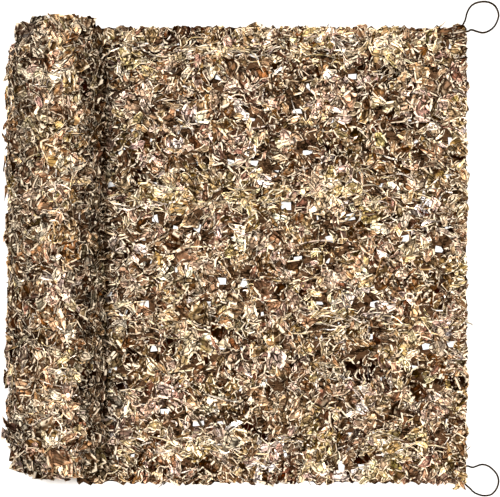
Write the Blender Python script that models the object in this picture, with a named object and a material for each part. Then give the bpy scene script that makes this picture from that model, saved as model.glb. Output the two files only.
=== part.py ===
"""A roll of leaf-cut camouflage netting, its loose end laid flat, with a cord loop at each free corner.

Metres, +Z up, standing on z = 0. X runs from the roll to the free end and Y along the roll.
The net is one cloth: net_roll is its wound length and net_sheet the length that lies flat.
"""

import math
import random

import bmesh
import bpy
import numpy as np

# Driving dimensions
NET_WIDTH = 1.500  # the laid cloth across, along Y, to the feet of its leaf tips
NET_CENTRE_Y = -0.0085
FREE_EDGE_X = 0.747  # the cut end of the laid cloth
ROLL_X = -0.602
ROLL_Y = 0.013  # the roll is wound a little off the cloth's own centre
ROLL_LENGTH = 1.490
ROLL_RADIUS = 0.152
TOUCH = 0.0003  # between faces that meet

# Roll: its section is a round of this many sides, pressed flat on the floor within the flat angle
ROLL_SIDES = 36
FLAT_ANGLE = math.radians(20)
BARREL_STEPS = 30
END_RINGS = 16
INNER_SHARE = 0.06  # radius of the innermost ring of an end, as a share of the roll's
TURN_PITCH = 0.044  # between the main turns that show at an end
TURN_DEPTH = 0.014
TURN_START = 0.30  # the share of the radius from which the turns have their full depth
END_DISH = 0.012  # how far the middle of an end is sunk
END_DROOP = 0.020  # how far the smallest section hangs below the roll's axis
LUMP_HEIGHT = 0.004
LEAF_ROUGHNESS = 0.004  # how far leaves make a point of the skin stand out or lie in
LUMP_FREE = 0.020  # no lumps below this height, where the roll bears on the floor
LUMP_FULL = 0.070
ROLL_SEED = 3

# Each soft end from its full section to its face: distance from the end, radius as a share of the
# roll's, and how far the centre moves to +X, because the outer turns are slacker on the far side.
END_SECTIONS = (
    # from_end, share, shift_x
    (0.138, 1.00, 0.000),
    (0.090, 0.91, 0.009),
    (0.042, 0.75, 0.026),
    (0.010, 0.62, 0.037),
    (0.000, 0.52, 0.040),
)

# Waves that add up to the roll's lumps: share of the height, waves round, radians per metre, phase
LUMP_WAVES = (
    # share, round, along, phase
    (0.40, 3, 9.0, 1.3),
    (0.35, 5, -17.0, 0.4),
    (0.25, 8, 31.0, 2.1),
)

# Laid cloth: a lattice of cells with leaves between them, some cells open
CELL = 0.036
ROOT_TUCK = 0.009  # how far under the roll's side the cloth starts, past the flat
ROOT_CELL = 0.022
CELL_JITTER = 0.28  # a lattice point's wander, as a share of a cell
LEAF_LOW, LEAF_HIGH = 0.005, 0.018  # height of the leaves between the gaps
RIM_LOW, RIM_HIGH = 0.004, 0.009  # height at gaps and at the outline
CORNER_HEIGHT = 0.009
ROLL_CLEAR = 0.004  # under the roll's side, but for the root itself, which touches it
TIP_LOW, TIP_HIGH = -0.004, 0.013  # how far leaf tips stand out of the long edges
END_TIP_LOW, END_TIP_HIGH = -0.002, 0.006  # and out of the cut end
CORNER_CELLS = 2  # cells beside a corner whose edge is straight, where the cord is tied in
SEED = 7

# Gaps: corners drawn in to these shares of a cell, and the bands of Y where most of them lie
GAP_LENGTH = (0.32, 0.90)  # along X
GAP_HEIGHT = (0.24, 0.75)  # along Y
GAP_UNEVEN = (0.65, 1.25)  # each corner's own share of that
GAP_LIMIT = 0.95
GAP_REACH = (0.019, 0.015)  # the farthest that a gap's corner lies from its middle, along X and Y
GAP_BACKGROUND = 0.20
GAP_BAND_HALF = 0.080
GAP_BANDS = (
    # y, weight
    (0.670, 1.0),
    (0.405, 0.3),
    (0.174, 1.0),
    (-0.025, 0.4),
    (-0.224, 1.0),
    (-0.396, 0.3),
    (-0.640, 1.0),
)

# Cord loops: centre lines seen from above, from the cloth's long edge round to its cut end
CORD_DIAMETER = 0.005
CORD_LEAD = 0.006  # straight stretch at each end, square to the edge it meets
CORD_STEP = 0.012
UPPER_LOOP = (
    (0.7437, 0.7680),
    (0.7503, 0.7932),
    (0.7609, 0.8124),
    (0.7777, 0.8249),
    (0.8049, 0.8302),
    (0.8284, 0.8259),
    (0.8453, 0.8124),
    (0.8545, 0.7892),
    (0.8516, 0.7700),
    (0.8410, 0.7491),
    (0.8241, 0.7342),
    (0.8029, 0.7273),
    (0.7817, 0.7319),
    (0.7648, 0.7369),
)
UPPER_EDGE_X = 0.7334  # where the upper loop meets the long edge
UPPER_END_Y = 0.7319  # and the cut end
LOWER_LOOP = (
    (0.7595, -0.7804),
    (0.7724, -0.7930),
    (0.7877, -0.8006),
    (0.8039, -0.8046),
    (0.8191, -0.8039),
    (0.8320, -0.7996),
    (0.8446, -0.7867),
    (0.8522, -0.7705),
    (0.8545, -0.7539),
    (0.8496, -0.7361),
    (0.8383, -0.7208),
    (0.8231, -0.7082),
    (0.8065, -0.7020),
    (0.7940, -0.7026),
    (0.7814, -0.7069),
    (0.7685, -0.7109),
)
LOWER_EDGE_X = 0.7425
LOWER_END_Y = -0.7069

# Colours of the pieces: red, green, blue, roughness
FINISHES = {
    "net_roll": (0.275, 0.178, 0.109, 0.75),
    "net_sheet": (0.337, 0.235, 0.147, 0.75),
    "corner_loop_upper": (0.091, 0.071, 0.030, 0.60),
    "corner_loop_lower": (0.091, 0.071, 0.030, 0.60),
}

UPPER_EDGE_Y = NET_CENTRE_Y + NET_WIDTH / 2
LOWER_EDGE_Y = NET_CENTRE_Y - NET_WIDTH / 2
AXIS_HEIGHT = ROLL_RADIUS * math.cos(FLAT_ANGLE)


def clear_scene():
    for thing in list(bpy.data.objects):
        bpy.data.objects.remove(thing, do_unlink=True)


def finish(thing):
    """The piece's own material, named after it."""
    red, green, blue, roughness = FINISHES[thing.name]
    material = bpy.data.materials.new(thing.name)
    material.use_nodes = True
    shader = material.node_tree.nodes["Principled BSDF"]
    shader.inputs["Base Color"].default_value = (red, green, blue, 1.0)
    shader.inputs["Roughness"].default_value = roughness
    shader.inputs["Metallic"].default_value = 0.0
    thing.data.materials.append(material)


def object_from(name, mesh_builder):
    """The bmesh as a closed object of this name, with its faces pointing out."""
    bmesh.ops.recalc_face_normals(mesh_builder, faces=mesh_builder.faces)
    bmesh.ops.triangulate(mesh_builder, faces=mesh_builder.faces)
    mesh = bpy.data.meshes.new(name)
    mesh_builder.to_mesh(mesh)
    mesh_builder.free()
    thing = bpy.data.objects.new(name, mesh)
    bpy.context.scene.collection.objects.link(thing)
    finish(thing)
    return thing


def eased(value, low, high):
    """0 below low, 1 above high, and smooth between."""
    share = min(max((value - low) / (high - low), 0.0), 1.0)
    return share * share * (3 - 2 * share)


# Roll


def lump(angle, y):
    height = sum(
        share * math.sin(turns * angle + along * y + phase)
        for share, turns, along, phase in LUMP_WAVES
    )
    return LUMP_HEIGHT * height


def roll_point(angle, share, shift_x, y, roughness=0.0):
    """A point of the roll's skin, in a section of this share of its radius."""
    radius = ROLL_RADIUS * share
    axis_z = AXIS_HEIGHT - END_DROOP * (1 - share)
    height = axis_z + radius * math.sin(angle)
    radius += share * (lump(angle, y) + roughness) * eased(height, LUMP_FREE, LUMP_FULL)
    x = ROLL_X + shift_x + radius * math.cos(angle)
    z = axis_z + radius * math.sin(angle)
    return (x, y, max(z, 0.0))


def end_offset(share, angle):
    """How far a point of a soft end lies in from the roll's end, with the grooves between turns."""
    rows = END_SECTIONS[::-1]
    shares = [row[1] for row in rows]
    plain = float(np.interp(share, shares, [row[0] for row in rows]))
    if share < shares[0]:
        plain = END_DISH * (1 - share / shares[0])
    turn = ROLL_RADIUS * share / TURN_PITCH + angle / (2 * math.pi)
    groove = 0.5 + 0.5 * math.cos(2 * math.pi * turn)
    return plain + TURN_DEPTH * groove * eased(share, INNER_SHARE, TURN_START)


def end_shift(share):
    rows = END_SECTIONS[::-1]
    return float(np.interp(share, [row[1] for row in rows], [row[2] for row in rows]))


def roll_angles():
    """Round the section from its lowest point, so that two sides either way make the flat."""
    return [2 * math.pi * side / ROLL_SIDES - math.pi / 2 for side in range(ROLL_SIDES)]


def end_rings(direction):
    """The rings of one end, from the full section to the middle, as lists of points."""
    rings = []
    for share in np.linspace(1.0, INNER_SHARE, END_RINGS):
        ring = []
        for angle in roll_angles():
            y = ROLL_Y + direction * (ROLL_LENGTH / 2 - end_offset(share, angle))
            ring.append(roll_point(angle, share, end_shift(share), y))
        rings.append(ring)
    return rings


def barrel_rings(first, last, draw):
    """Rings between the two full sections, each side's points evenly spaced along it."""
    rings = []
    for step in range(1, BARREL_STEPS):
        ring = []
        for angle, start, end in zip(roll_angles(), first, last):
            y = start[1] + (end[1] - start[1]) * step / BARREL_STEPS
            roughness = draw.uniform(-LEAF_ROUGHNESS, LEAF_ROUGHNESS)
            ring.append(roll_point(angle, 1.0, 0.0, y, roughness))
        rings.append(ring)
    return rings


def cap(mesh_builder, ring):
    """Triangles from a ring to its own middle."""
    middle = mesh_builder.verts.new(np.mean([vert.co for vert in ring], axis=0))
    for here, after in zip(ring, ring[1:] + ring[:1]):
        mesh_builder.faces.new((here, after, middle))


def make_roll():
    lower = end_rings(-1)
    upper = end_rings(1)
    barrel = barrel_rings(lower[0], upper[0], random.Random(ROLL_SEED))
    rings = lower[::-1] + barrel + upper
    builder = bmesh.new()
    rows = [[builder.verts.new(point) for point in ring] for ring in rings]
    for near, far in zip(rows, rows[1:]):
        for side in range(ROLL_SIDES):
            after = (side + 1) % ROLL_SIDES
            builder.faces.new((near[side], near[after], far[after], far[side]))
    cap(builder, rows[0])
    cap(builder, rows[-1])
    return object_from("net_roll", builder)


def height_under_roll(x):
    """Height of the roll's underside above the floor, beside its flat."""
    angles = [angle for angle in roll_angles() if -math.pi / 2 <= angle <= 0]
    corners = [roll_point(angle, 1.0, 0.0, ROLL_Y) for angle in angles]
    return float(np.interp(x, [corner[0] for corner in corners], [corner[2] for corner in corners]))


# Laid cloth


def lattice_lines():
    """X of the columns and Y of the rows of the lattice."""
    root = ROLL_X + ROLL_RADIUS * math.sin(FLAT_ANGLE) + ROOT_TUCK
    start = root + ROOT_CELL
    columns = round((FREE_EDGE_X - start) / CELL)
    rows = round(NET_WIDTH / CELL)
    xs = [root] + list(np.linspace(start, FREE_EDGE_X, columns + 1))
    ys = list(np.linspace(LOWER_EDGE_Y, UPPER_EDGE_Y, rows + 1))
    return xs, ys


def gap_weight(y):
    """How likely a cell at this Y is open."""
    bands = sum(
        weight * math.exp(-(((y - centre) / GAP_BAND_HALF) ** 2))
        for centre, weight in GAP_BANDS
    )
    return min(GAP_BACKGROUND + bands, 1.0)


def open_cells(xs, ys, draw):
    """The see-through cells: none on the rim or under the roll, and no two that touch."""
    cells = [
        (column, row)
        for column in range(1, len(xs) - 2)
        for row in range(1, len(ys) - 2)
        if xs[column] > ROLL_X + ROLL_RADIUS
    ]
    draw.shuffle(cells)
    chosen = set()
    for column, row in cells:
        around = {(column + i, row + j) for i in (-1, 0, 1) for j in (-1, 0, 1)}
        if draw.random() < gap_weight((ys[row] + ys[row + 1]) / 2) and not around & chosen:
            chosen.add((column, row))
    return chosen


def lattice_points(xs, ys, gaps, draw):
    """Plan position of each lattice point: wandering inside, and drawn in round the gaps."""
    points = {}
    for i, x in enumerate(xs):
        for j, y in enumerate(ys):
            inside = 0 < i < len(xs) - 1 and 0 < j < len(ys) - 1
            reach = CELL * CELL_JITTER if inside else 0.0
            points[i, j] = (x + draw.uniform(-reach, reach), y + draw.uniform(-reach, reach))
    for column, row in sorted(gaps):
        corners = [(column + i, row + j) for i in (0, 1) for j in (0, 1)]
        middle = np.mean([points[corner] for corner in corners], axis=0)
        size = np.array((draw.uniform(*GAP_LENGTH), draw.uniform(*GAP_HEIGHT)))
        for corner in corners:
            share = np.minimum(size * draw.uniform(*GAP_UNEVEN), GAP_LIMIT)
            reach = (np.array(points[corner]) - middle) * share
            points[corner] = tuple(middle + np.clip(reach, np.negative(GAP_REACH), GAP_REACH))
    return points


def outward(vert, xs, ys):
    """Unit direction out of the long edge or the cut end that a rim point lies on, or None."""
    near = CELL / 100
    if abs(vert.co.y - ys[0]) < near:
        return (0.0, -1.0)
    if abs(vert.co.y - ys[-1]) < near:
        return (0.0, 1.0)
    if abs(vert.co.x - xs[-1]) < near:
        return (1.0, 0.0)
    return None


def beside_corner(vert):
    """Whether a rim point is in the straight stretch where the cord is tied in."""
    reach = CELL * (CORNER_CELLS + 0.5)
    near_end = vert.co.x > FREE_EDGE_X - reach
    near_side = min(UPPER_EDGE_Y - vert.co.y, vert.co.y - LOWER_EDGE_Y) < reach
    return near_end and near_side


def raise_leaf_tips(builder, xs, ys, draw):
    """Splits the rim's edges in three and moves the new points out as ragged leaf tips."""
    rim = [
        edge
        for edge in builder.edges
        if edge.is_boundary and all(outward(vert, xs, ys) for vert in edge.verts)
    ]
    split = bmesh.ops.subdivide_edges(builder, edges=rim, cuts=2)
    added = [part for part in split["geom_inner"] if isinstance(part, bmesh.types.BMVert)]
    for vert in added:
        if beside_corner(vert):
            continue
        x_way, y_way = outward(vert, xs, ys)
        low, high = (END_TIP_LOW, END_TIP_HIGH) if x_way else (TIP_LOW, TIP_HIGH)
        step = draw.uniform(low, high)
        vert.co.x += x_way * step
        vert.co.y += y_way * step


def leaf_height(vert, root, draw):
    """Height of the cloth's top at a point of its plan, where root is the X of its hidden edge."""
    rim = any(edge.is_boundary for edge in vert.link_edges)
    low, high = (RIM_LOW, RIM_HIGH) if rim else (LEAF_LOW, LEAF_HIGH)
    height = draw.uniform(low, high)
    if rim and beside_corner(vert):
        height = CORNER_HEIGHT
    clear = TOUCH if vert.co.x < root + CELL / 100 else ROLL_CLEAR
    return min(height, height_under_roll(vert.co.x) - clear)


def make_sheet():
    draw = random.Random(SEED)
    xs, ys = lattice_lines()
    gaps = open_cells(xs, ys, draw)
    points = lattice_points(xs, ys, gaps, draw)
    builder = bmesh.new()
    verts = {key: builder.verts.new((x, y, 0.0)) for key, (x, y) in points.items()}
    for i in range(len(xs) - 1):
        for j in range(len(ys) - 1):
            if (i, j) not in gaps:
                corners = ((i, j), (i + 1, j), (i + 1, j + 1), (i, j + 1))
                builder.faces.new([verts[corner] for corner in corners])
    raise_leaf_tips(builder, xs, ys, draw)
    heights = [leaf_height(vert, xs[0], draw) for vert in builder.verts]
    underside = list(builder.verts)
    bmesh.ops.triangulate(builder, faces=builder.faces)
    bmesh.ops.extrude_face_region(builder, geom=list(builder.faces), use_keep_orig=True)
    lift_top(builder, underside, heights)
    return object_from("net_sheet", builder)


def lift_top(builder, underside, heights):
    """Raises the copied layer above the underside by each point's height."""
    plan = {(vert.co.x, vert.co.y): height for vert, height in zip(underside, heights)}
    below = set(underside)
    for vert in builder.verts:
        if vert not in below:
            vert.co.z = plan[vert.co.x, vert.co.y]


# Cord loops


def smooth_curve(points, per_span=16):
    """Points close together on a Catmull-Rom curve through the given ones."""
    known = [np.array(point) for point in points]
    padded = [2 * known[0] - known[1]] + known + [2 * known[-1] - known[-2]]
    curve = []
    for before, start, end, after in zip(padded, padded[1:], padded[2:], padded[3:]):
        for step in range(per_span):
            t = step / per_span
            bend = 2 * before - 5 * start + 4 * end - after
            twist = 3 * (start - end) + after - before
            curve.append(start + 0.5 * t * (end - before + t * (bend + t * twist)))
    curve.append(known[-1])
    return curve


def even_points(curve, step):
    """Points at about this spacing along a curve, its two ends among them."""
    lengths = [0.0]
    for here, after in zip(curve, curve[1:]):
        lengths.append(lengths[-1] + float(np.linalg.norm(after - here)))
    count = round(lengths[-1] / step)
    wanted = np.linspace(0.0, lengths[-1], count + 1)
    return [tuple(np.interp(at, lengths, [p[i] for p in curve]) for i in (0, 1)) for at in wanted]


def loop_route(edge_x, edge_y, end_y, bends):
    """A loop's centre line: out of the long edge, through its bends and back to the cut end."""
    away = math.copysign(1.0, edge_y - NET_CENTRE_Y)
    start = (edge_x, edge_y + away * TOUCH)
    start_lead = (edge_x, edge_y + away * (TOUCH + CORD_LEAD))
    end = (FREE_EDGE_X + TOUCH, end_y)
    end_lead = (FREE_EDGE_X + TOUCH + CORD_LEAD, end_y)
    middle = even_points(smooth_curve((start_lead, *bends, end_lead)), CORD_STEP)
    return [start, *middle, end]


def make_cord(name, route):
    curve = bpy.data.curves.new(name, "CURVE")
    curve.dimensions = "3D"
    curve.bevel_depth = CORD_DIAMETER / 2
    curve.bevel_resolution = 2
    curve.use_fill_caps = True
    spline = curve.splines.new("POLY")
    spline.points.add(len(route) - 1)
    for point, (x, y) in zip(spline.points, route):
        point.co = (x, y, CORD_DIAMETER / 2 + TOUCH, 1.0)
    thing = bpy.data.objects.new(name, curve)
    bpy.context.scene.collection.objects.link(thing)
    finish(thing)
    return thing


def make_loops():
    upper = loop_route(UPPER_EDGE_X, UPPER_EDGE_Y, UPPER_END_Y, UPPER_LOOP)
    lower = loop_route(LOWER_EDGE_X, LOWER_EDGE_Y, LOWER_END_Y, LOWER_LOOP)
    make_cord("corner_loop_upper", upper)
    make_cord("corner_loop_lower", lower)


def main():
    clear_scene()
    make_roll()
    make_sheet()
    make_loops()


main()
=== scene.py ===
# %% [markdown]
# # A roll of leaf-cut camouflage netting
#
# The real thing is printed cloth, cut so that hundreds of flaps curl up like dry leaves. Most of
# it is wound into a roll. The loose end lies flat, with a thin cord tied in at each free corner.
# The CAD model holds the big forms. This lesson dresses them with cloth, leaves, straws and cord.

# %% Load the frame
import math

import bmesh
import bpy
import numpy as np
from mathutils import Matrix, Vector
from mathutils.bvhtree import BVHTree
from mathutils.kdtree import KDTree


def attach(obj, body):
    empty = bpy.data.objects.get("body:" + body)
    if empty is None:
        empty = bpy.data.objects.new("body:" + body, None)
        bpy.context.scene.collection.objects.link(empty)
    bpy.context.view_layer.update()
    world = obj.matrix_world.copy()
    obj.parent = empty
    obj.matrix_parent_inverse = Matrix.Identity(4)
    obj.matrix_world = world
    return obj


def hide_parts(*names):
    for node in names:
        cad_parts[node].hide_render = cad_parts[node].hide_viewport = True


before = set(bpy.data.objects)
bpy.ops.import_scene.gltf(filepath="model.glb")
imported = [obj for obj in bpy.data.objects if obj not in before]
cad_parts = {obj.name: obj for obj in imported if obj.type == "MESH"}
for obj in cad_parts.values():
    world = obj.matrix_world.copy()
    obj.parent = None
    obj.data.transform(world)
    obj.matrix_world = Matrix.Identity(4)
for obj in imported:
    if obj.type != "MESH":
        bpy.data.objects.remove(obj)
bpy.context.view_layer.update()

# %% [markdown]
# ## Camera
# The netting lies on the floor and is seen from straight above. The roll's ends look only a little
# longer than the laid cloth is wide, so the camera is high: six metres, with a narrow lens.

# %% Camera
CAMERA_PLACE = (0.032, 0.013, 6.0)
VIEW_WIDTH = 1.655  # of the floor, across the picture
SENSOR = 36.0

bpy.ops.object.camera_add(location=CAMERA_PLACE, rotation=(0, 0, 0))
camera = bpy.context.object
camera.name = "camera"
camera.data.sensor_width = SENSOR
camera.data.lens = SENSOR * CAMERA_PLACE[2] / VIEW_WIDTH
bpy.context.scene.camera = camera
print("lens", round(camera.data.lens, 1), "mm")

# %% [markdown]
# ## Corner cords
# Each free corner has a loop of thin twisted cord that leaves the long edge and comes back at the
# cut end. A curve with a round bevel would be smooth all over. The twist of its three strands
# shows on a close look, so the tube is swept along the route with three lobes that turn as it goes.

# %% Routes of the cords
CORD_DIAMETER = 0.006
CORD_HEIGHT = 0.0028  # of the centre line above the floor
CORD_STEP = 0.0016
CORD_SIDES = 12
TWIST_PITCH = 0.012
LOBES, LOBE_DEPTH = 3, 0.09  # one for each strand, and their depth as a share of the radius
TOUCH = 0.0003
LEAD = 0.006
FREE_EDGE_X = 0.747
EDGE_YS = {"upper": 0.7415, "lower": -0.7585}

CORD_BENDS = {
    "upper": (
        (0.7437, 0.7680), (0.7503, 0.7932), (0.7609, 0.8124), (0.7777, 0.8249), (0.8049, 0.8302),
        (0.8284, 0.8259), (0.8453, 0.8124), (0.8545, 0.7892), (0.8516, 0.7700), (0.8410, 0.7491),
        (0.8241, 0.7342), (0.8029, 0.7273), (0.7817, 0.7319), (0.7648, 0.7369),
    ),
    "lower": (
        (0.7595, -0.7804), (0.7724, -0.7930), (0.7877, -0.8006), (0.8039, -0.8046),
        (0.8191, -0.8039), (0.8320, -0.7996), (0.8446, -0.7867), (0.8522, -0.7705),
        (0.8545, -0.7539), (0.8496, -0.7361), (0.8383, -0.7208), (0.8231, -0.7082),
        (0.8065, -0.7020), (0.7940, -0.7026), (0.7814, -0.7069), (0.7685, -0.7109),
    ),
}
CORD_ENDS = {
    # where the cord leaves the long edge, and where it meets the cut end
    "upper": (0.7334, 0.7319),
    "lower": (0.7425, -0.7069),
}


def smooth_line(points, per_span=16):
    """Points close together on a smooth curve through the given ones."""
    known = np.array(points, float)
    padded = np.vstack((2 * known[0] - known[1], known, 2 * known[-1] - known[-2]))
    t = np.arange(per_span)[:, None] / per_span
    spans = [
        b + 0.5 * t * (c - a + t * (2 * a - 5 * b + 4 * c - d + t * (3 * (b - c) + d - a)))
        for a, b, c, d in zip(padded, padded[1:], padded[2:], padded[3:])
    ]
    return np.vstack((*spans, known[-1]))


def evenly(line, step):
    """The line's points again, at about this spacing, and its length."""
    run = np.concatenate(([0.0], np.cumsum(np.linalg.norm(np.diff(line, axis=0), axis=1))))
    wanted = np.linspace(0.0, run[-1], round(run[-1] / step) + 1)
    return np.stack([np.interp(wanted, run, axis) for axis in line.T], axis=1), run[-1]


def cord_route(side):
    """The centre line of one loop, from the long edge round to the cut end."""
    edge_y, (edge_x, end_y) = EDGE_YS[side], CORD_ENDS[side]
    away = math.copysign(1.0, edge_y)
    start = [(edge_x, edge_y + away * TOUCH), (edge_x, edge_y + away * (TOUCH + LEAD))]
    end = [(FREE_EDGE_X + TOUCH + LEAD, end_y), (FREE_EDGE_X + TOUCH, end_y)]
    line = smooth_line((*start, *CORD_BENDS[side], *end))
    flat, length = evenly(line, CORD_STEP)
    return np.column_stack((flat, np.full(len(flat), CORD_HEIGHT))), length


# %% [markdown]
# ## One way to make big meshes
# A leaf or a strand is modelled once, and its copies are worked out as arrays and joined in one
# mesh, because thousands of objects would be slow. Each copy carries its own dye, its own place on
# the printed cloth and how near each point is to the cut edge, as attributes that the shader reads.
# It also has its own cell of a map of its corners.

# %% Mesh from arrays
SOFT_ANGLE, CORD_ANGLE = 18, 75  # a sharper turn than this between two faces shows as a crease


def new_piece(name, points, faces, attributes, bake_map, sharp=SOFT_ANGLE):
    """An object from arrays of points and triangles, with attributes and a map of its corners."""
    mesh = bpy.data.meshes.new(name)
    mesh.vertices.add(len(points))
    mesh.vertices.foreach_set("co", np.asarray(points, np.float32).ravel())
    mesh.loops.add(faces.size)
    mesh.loops.foreach_set("vertex_index", faces.astype(np.int32).ravel())
    mesh.polygons.add(len(faces))
    mesh.polygons.foreach_set("loop_start", np.arange(0, faces.size, 3, dtype=np.int32))
    mesh.update(calc_edges=True)
    for label, values in attributes.items():
        values = np.asarray(values, np.float32)
        kind, field = ("FLOAT_VECTOR", "vector") if values.ndim == 2 else ("FLOAT", "value")
        mesh.attributes.new(label, kind, "POINT").data.foreach_set(field, values.ravel())
    layer = mesh.uv_layers.new(name="OFBake")
    layer.uv.foreach_set("vector", np.asarray(bake_map, np.float32).ravel())
    mesh.shade_smooth()
    mesh.set_sharp_from_angle(angle=math.radians(sharp))
    piece = bpy.data.objects.new(name, mesh)
    bpy.context.scene.collection.objects.link(piece)
    print(name, len(faces), "triangles")
    return piece


# %% Cords
ALONG_X, ALONG_Y, UP = np.eye(3)
# the corners of two triangles that fill a square, as steps along the cord and round it
TWO_TRIANGLES = ((0, 0), (0, 1), (1, 1), (0, 0), (1, 1), (1, 0))
CAP_CELL = ((0, 0), (0, 0.01), (0.01, 0))  # of the bake map


def unit(vectors):
    """The vectors at a length of 1."""
    return vectors / np.maximum(np.linalg.norm(vectors, axis=-1, keepdims=True), 1e-9)


def sweep_cord(name, route):
    """A lobed twisted tube along the route, closed at both ends."""
    across = np.cross(UP, unit(np.gradient(route, axis=0)))
    run = np.arange(len(route)) * CORD_STEP
    angle = np.arange(CORD_SIDES) * 2 * math.pi / CORD_SIDES
    turn = 2 * math.pi * run[:, None] / TWIST_PITCH
    lobe = np.cos(LOBES * (angle[None, :] - turn / LOBES))
    radius = CORD_DIAMETER / 2 * (1 - LOBE_DEPTH * (0.5 - 0.5 * lobe))
    ring = across[:, None, :] * np.cos(angle)[None, :, None] + UP * np.sin(angle)[None, :, None]
    points = (route[:, None, :] + ring * radius[:, :, None]).reshape(-1, 3)
    points = np.vstack((points, route[0], route[-1]))
    faces, corners = [], []
    for number in range((len(route) - 1) * CORD_SIDES):
        square = [(number // CORD_SIDES + i, number % CORD_SIDES + j) for i, j in TWO_TRIANGLES]
        points_of = [i * CORD_SIDES + j % CORD_SIDES for i, j in square]
        faces += [points_of[:3], points_of[3:]]
        corners += [(i / len(route), j / CORD_SIDES) for i, j in square]
    first, last = (len(route) - 1) * CORD_SIDES, len(points) - 2
    for j in range(CORD_SIDES):
        k = (j + 1) % CORD_SIDES
        faces += [(k, j, last), (first + j, first + k, last + 1)]
        corners += CAP_CELL * 2
    twist = np.concatenate((np.repeat(run, CORD_SIDES), (0.0, run[-1])))
    wound = {"cord_run": twist, "cord_lobe": np.concatenate((lobe.ravel(), (0.0, 0.0)))}
    return new_piece(name, points, np.array(faces), wound, corners, CORD_ANGLE)


cords = {}
for side in ("upper", "lower"):
    route, cord_length = cord_route(side)
    cords[side] = cord = sweep_cord(f"{side}_cord", route)
    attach(cord, "root")
    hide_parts(f"corner_loop_{side}")
    print(cord.name, "length", round(cord_length, 4), "m")

# %% [markdown]
# ## Ground cloth of the laid end
# Under the leaves runs one dark cloth with the see-through gaps in it. It has to follow the CAD
# solid's folds, so it starts as a copy of that solid. Its top faces alone are kept, lowered a
# little so that the leaves lie in the solid's space, and given the thickness of cloth.

# %% Laid ground
CLOTH_THICKNESS = 0.0008
GROUND_SHARE = 0.55  # of the solid's height
SAME_PLACE = 1e-5
TOP_FACING = 0.2  # a face whose normal rises less than this is not on top
LAID_CREASE, ROLL_CREASE = math.radians(30), math.radians(50)  # sharper turns show as creases


def merged_copy(node, name):
    """A copy of a CAD node's mesh as a new active object, with its doubles merged, in edit mode."""
    bpy.ops.object.select_all(action="DESELECT")
    piece = bpy.data.objects.new(name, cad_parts[node].data.copy())
    bpy.context.scene.collection.objects.link(piece)
    bpy.context.view_layer.objects.active = piece
    piece.select_set(True)
    piece.data.materials.clear()
    bpy.ops.object.mode_set(mode="EDIT")
    bpy.ops.mesh.select_all(action="SELECT")
    bpy.ops.mesh.remove_doubles(threshold=SAME_PLACE)
    return piece


def pick(kind, test):
    """In edit mode, selects only the vertices or faces that pass the test."""
    bpy.ops.mesh.select_mode(type="VERT" if kind == "verts" else "FACE")
    bpy.ops.mesh.select_all(action="DESELECT")
    mesh = bmesh.from_edit_mesh(bpy.context.edit_object.data)
    for item in getattr(mesh, kind):
        item.select_set(test(item))
    mesh.select_flush_mode()
    bmesh.update_edit_mesh(bpy.context.edit_object.data)


def thicken(piece, offset):
    """Gives the active piece the thickness of cloth, outwards (offset 1) or to both sides (0)."""
    shell = piece.modifiers.new("thickness", "SOLIDIFY")
    shell.thickness = CLOTH_THICKNESS
    shell.offset = offset
    bpy.ops.object.modifier_apply(modifier=shell.name)


laid_ground = merged_copy("net_sheet", "laid_ground")
pick("faces", lambda face: face.normal.z < TOP_FACING)
bpy.ops.mesh.delete(type="FACE")
bpy.ops.mesh.select_all(action="SELECT")
bpy.ops.transform.resize(value=(1, 1, GROUND_SHARE), center_override=(0, 0, 0))
bpy.ops.object.mode_set(mode="OBJECT")
thicken(laid_ground, 1.0)
bpy.ops.object.shade_smooth_by_angle(angle=LAID_CREASE)
print("laid ground faces", len(laid_ground.data.polygons))

# %% [markdown]
# ## Skin of the roll
# The roll's own skin is a copy of its solid, drawn in by the depth of the leaves that will cover
# it, and set down flat again where the roll rests.

# %% Roll ground
LEAF_DEPTH = 0.013
REST_BAND, REST_HEIGHT = 0.014, 0.0005  # what is below the one is set down to the other

roll_ground = merged_copy("net_roll", "roll_ground")
bpy.ops.transform.shrink_fatten(value=-LEAF_DEPTH)
pick("verts", lambda vert: vert.co.z < REST_BAND)
bpy.ops.transform.resize(value=(1, 1, 0), center_override=(0, 0, REST_HEIGHT))
bpy.ops.object.mode_set(mode="OBJECT")
bpy.ops.object.shade_smooth_by_angle(angle=ROLL_CREASE)
print("roll ground height", round(max(v.co.z for v in roll_ground.data.vertices), 4))

# %% [markdown]
# ## Where a leaf may root
# Leaves grow from the cloth, and none may float over a see-through gap. Rays tell where the cloth
# is: straight down for the laid end, from the axis outwards for the barrel of the roll, and along
# the axis for its two ends. A tree of the mesh's faces answers thousands of rays quickly.

# %% Rays
ROLL_X, ROLL_Y, AXIS_Z = -0.602, 0.013, 0.1428
ROLL_LENGTH, ROLL_RADIUS = 1.490, 0.152
ABOVE_LAID, RAY_REACH = 0.2, 1.0

graph = bpy.context.evaluated_depsgraph_get()
laid_tree = BVHTree.FromObject(laid_ground, graph)
roll_tree = BVHTree.FromObject(roll_ground, graph)


def axis_at(ys):
    """Points of the roll's axis."""
    return np.column_stack((np.full(len(ys), ROLL_X), ys, np.full(len(ys), AXIS_Z)))


def cast(tree, starts, directions):
    """Where each ray meets the mesh, with its normal, and whether it does."""
    places, normals = np.zeros((len(starts), 3)), np.zeros((len(starts), 3))
    found = np.zeros(len(starts), bool)
    for i, (start, direction) in enumerate(zip(starts, directions)):
        place, normal, _, _ = tree.ray_cast(Vector(start), Vector(direction), RAY_REACH)
        if place is not None:
            places[i], normals[i], found[i] = place, normal, True
    return places, normals, found


def on_laid(plan):
    """The cloth under points of the plan."""
    starts = np.column_stack((plan, np.full(len(plan), ABOVE_LAID)))
    return cast(laid_tree, starts, np.tile((0.0, 0.0, -1.0), (len(plan), 1)))


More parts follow.
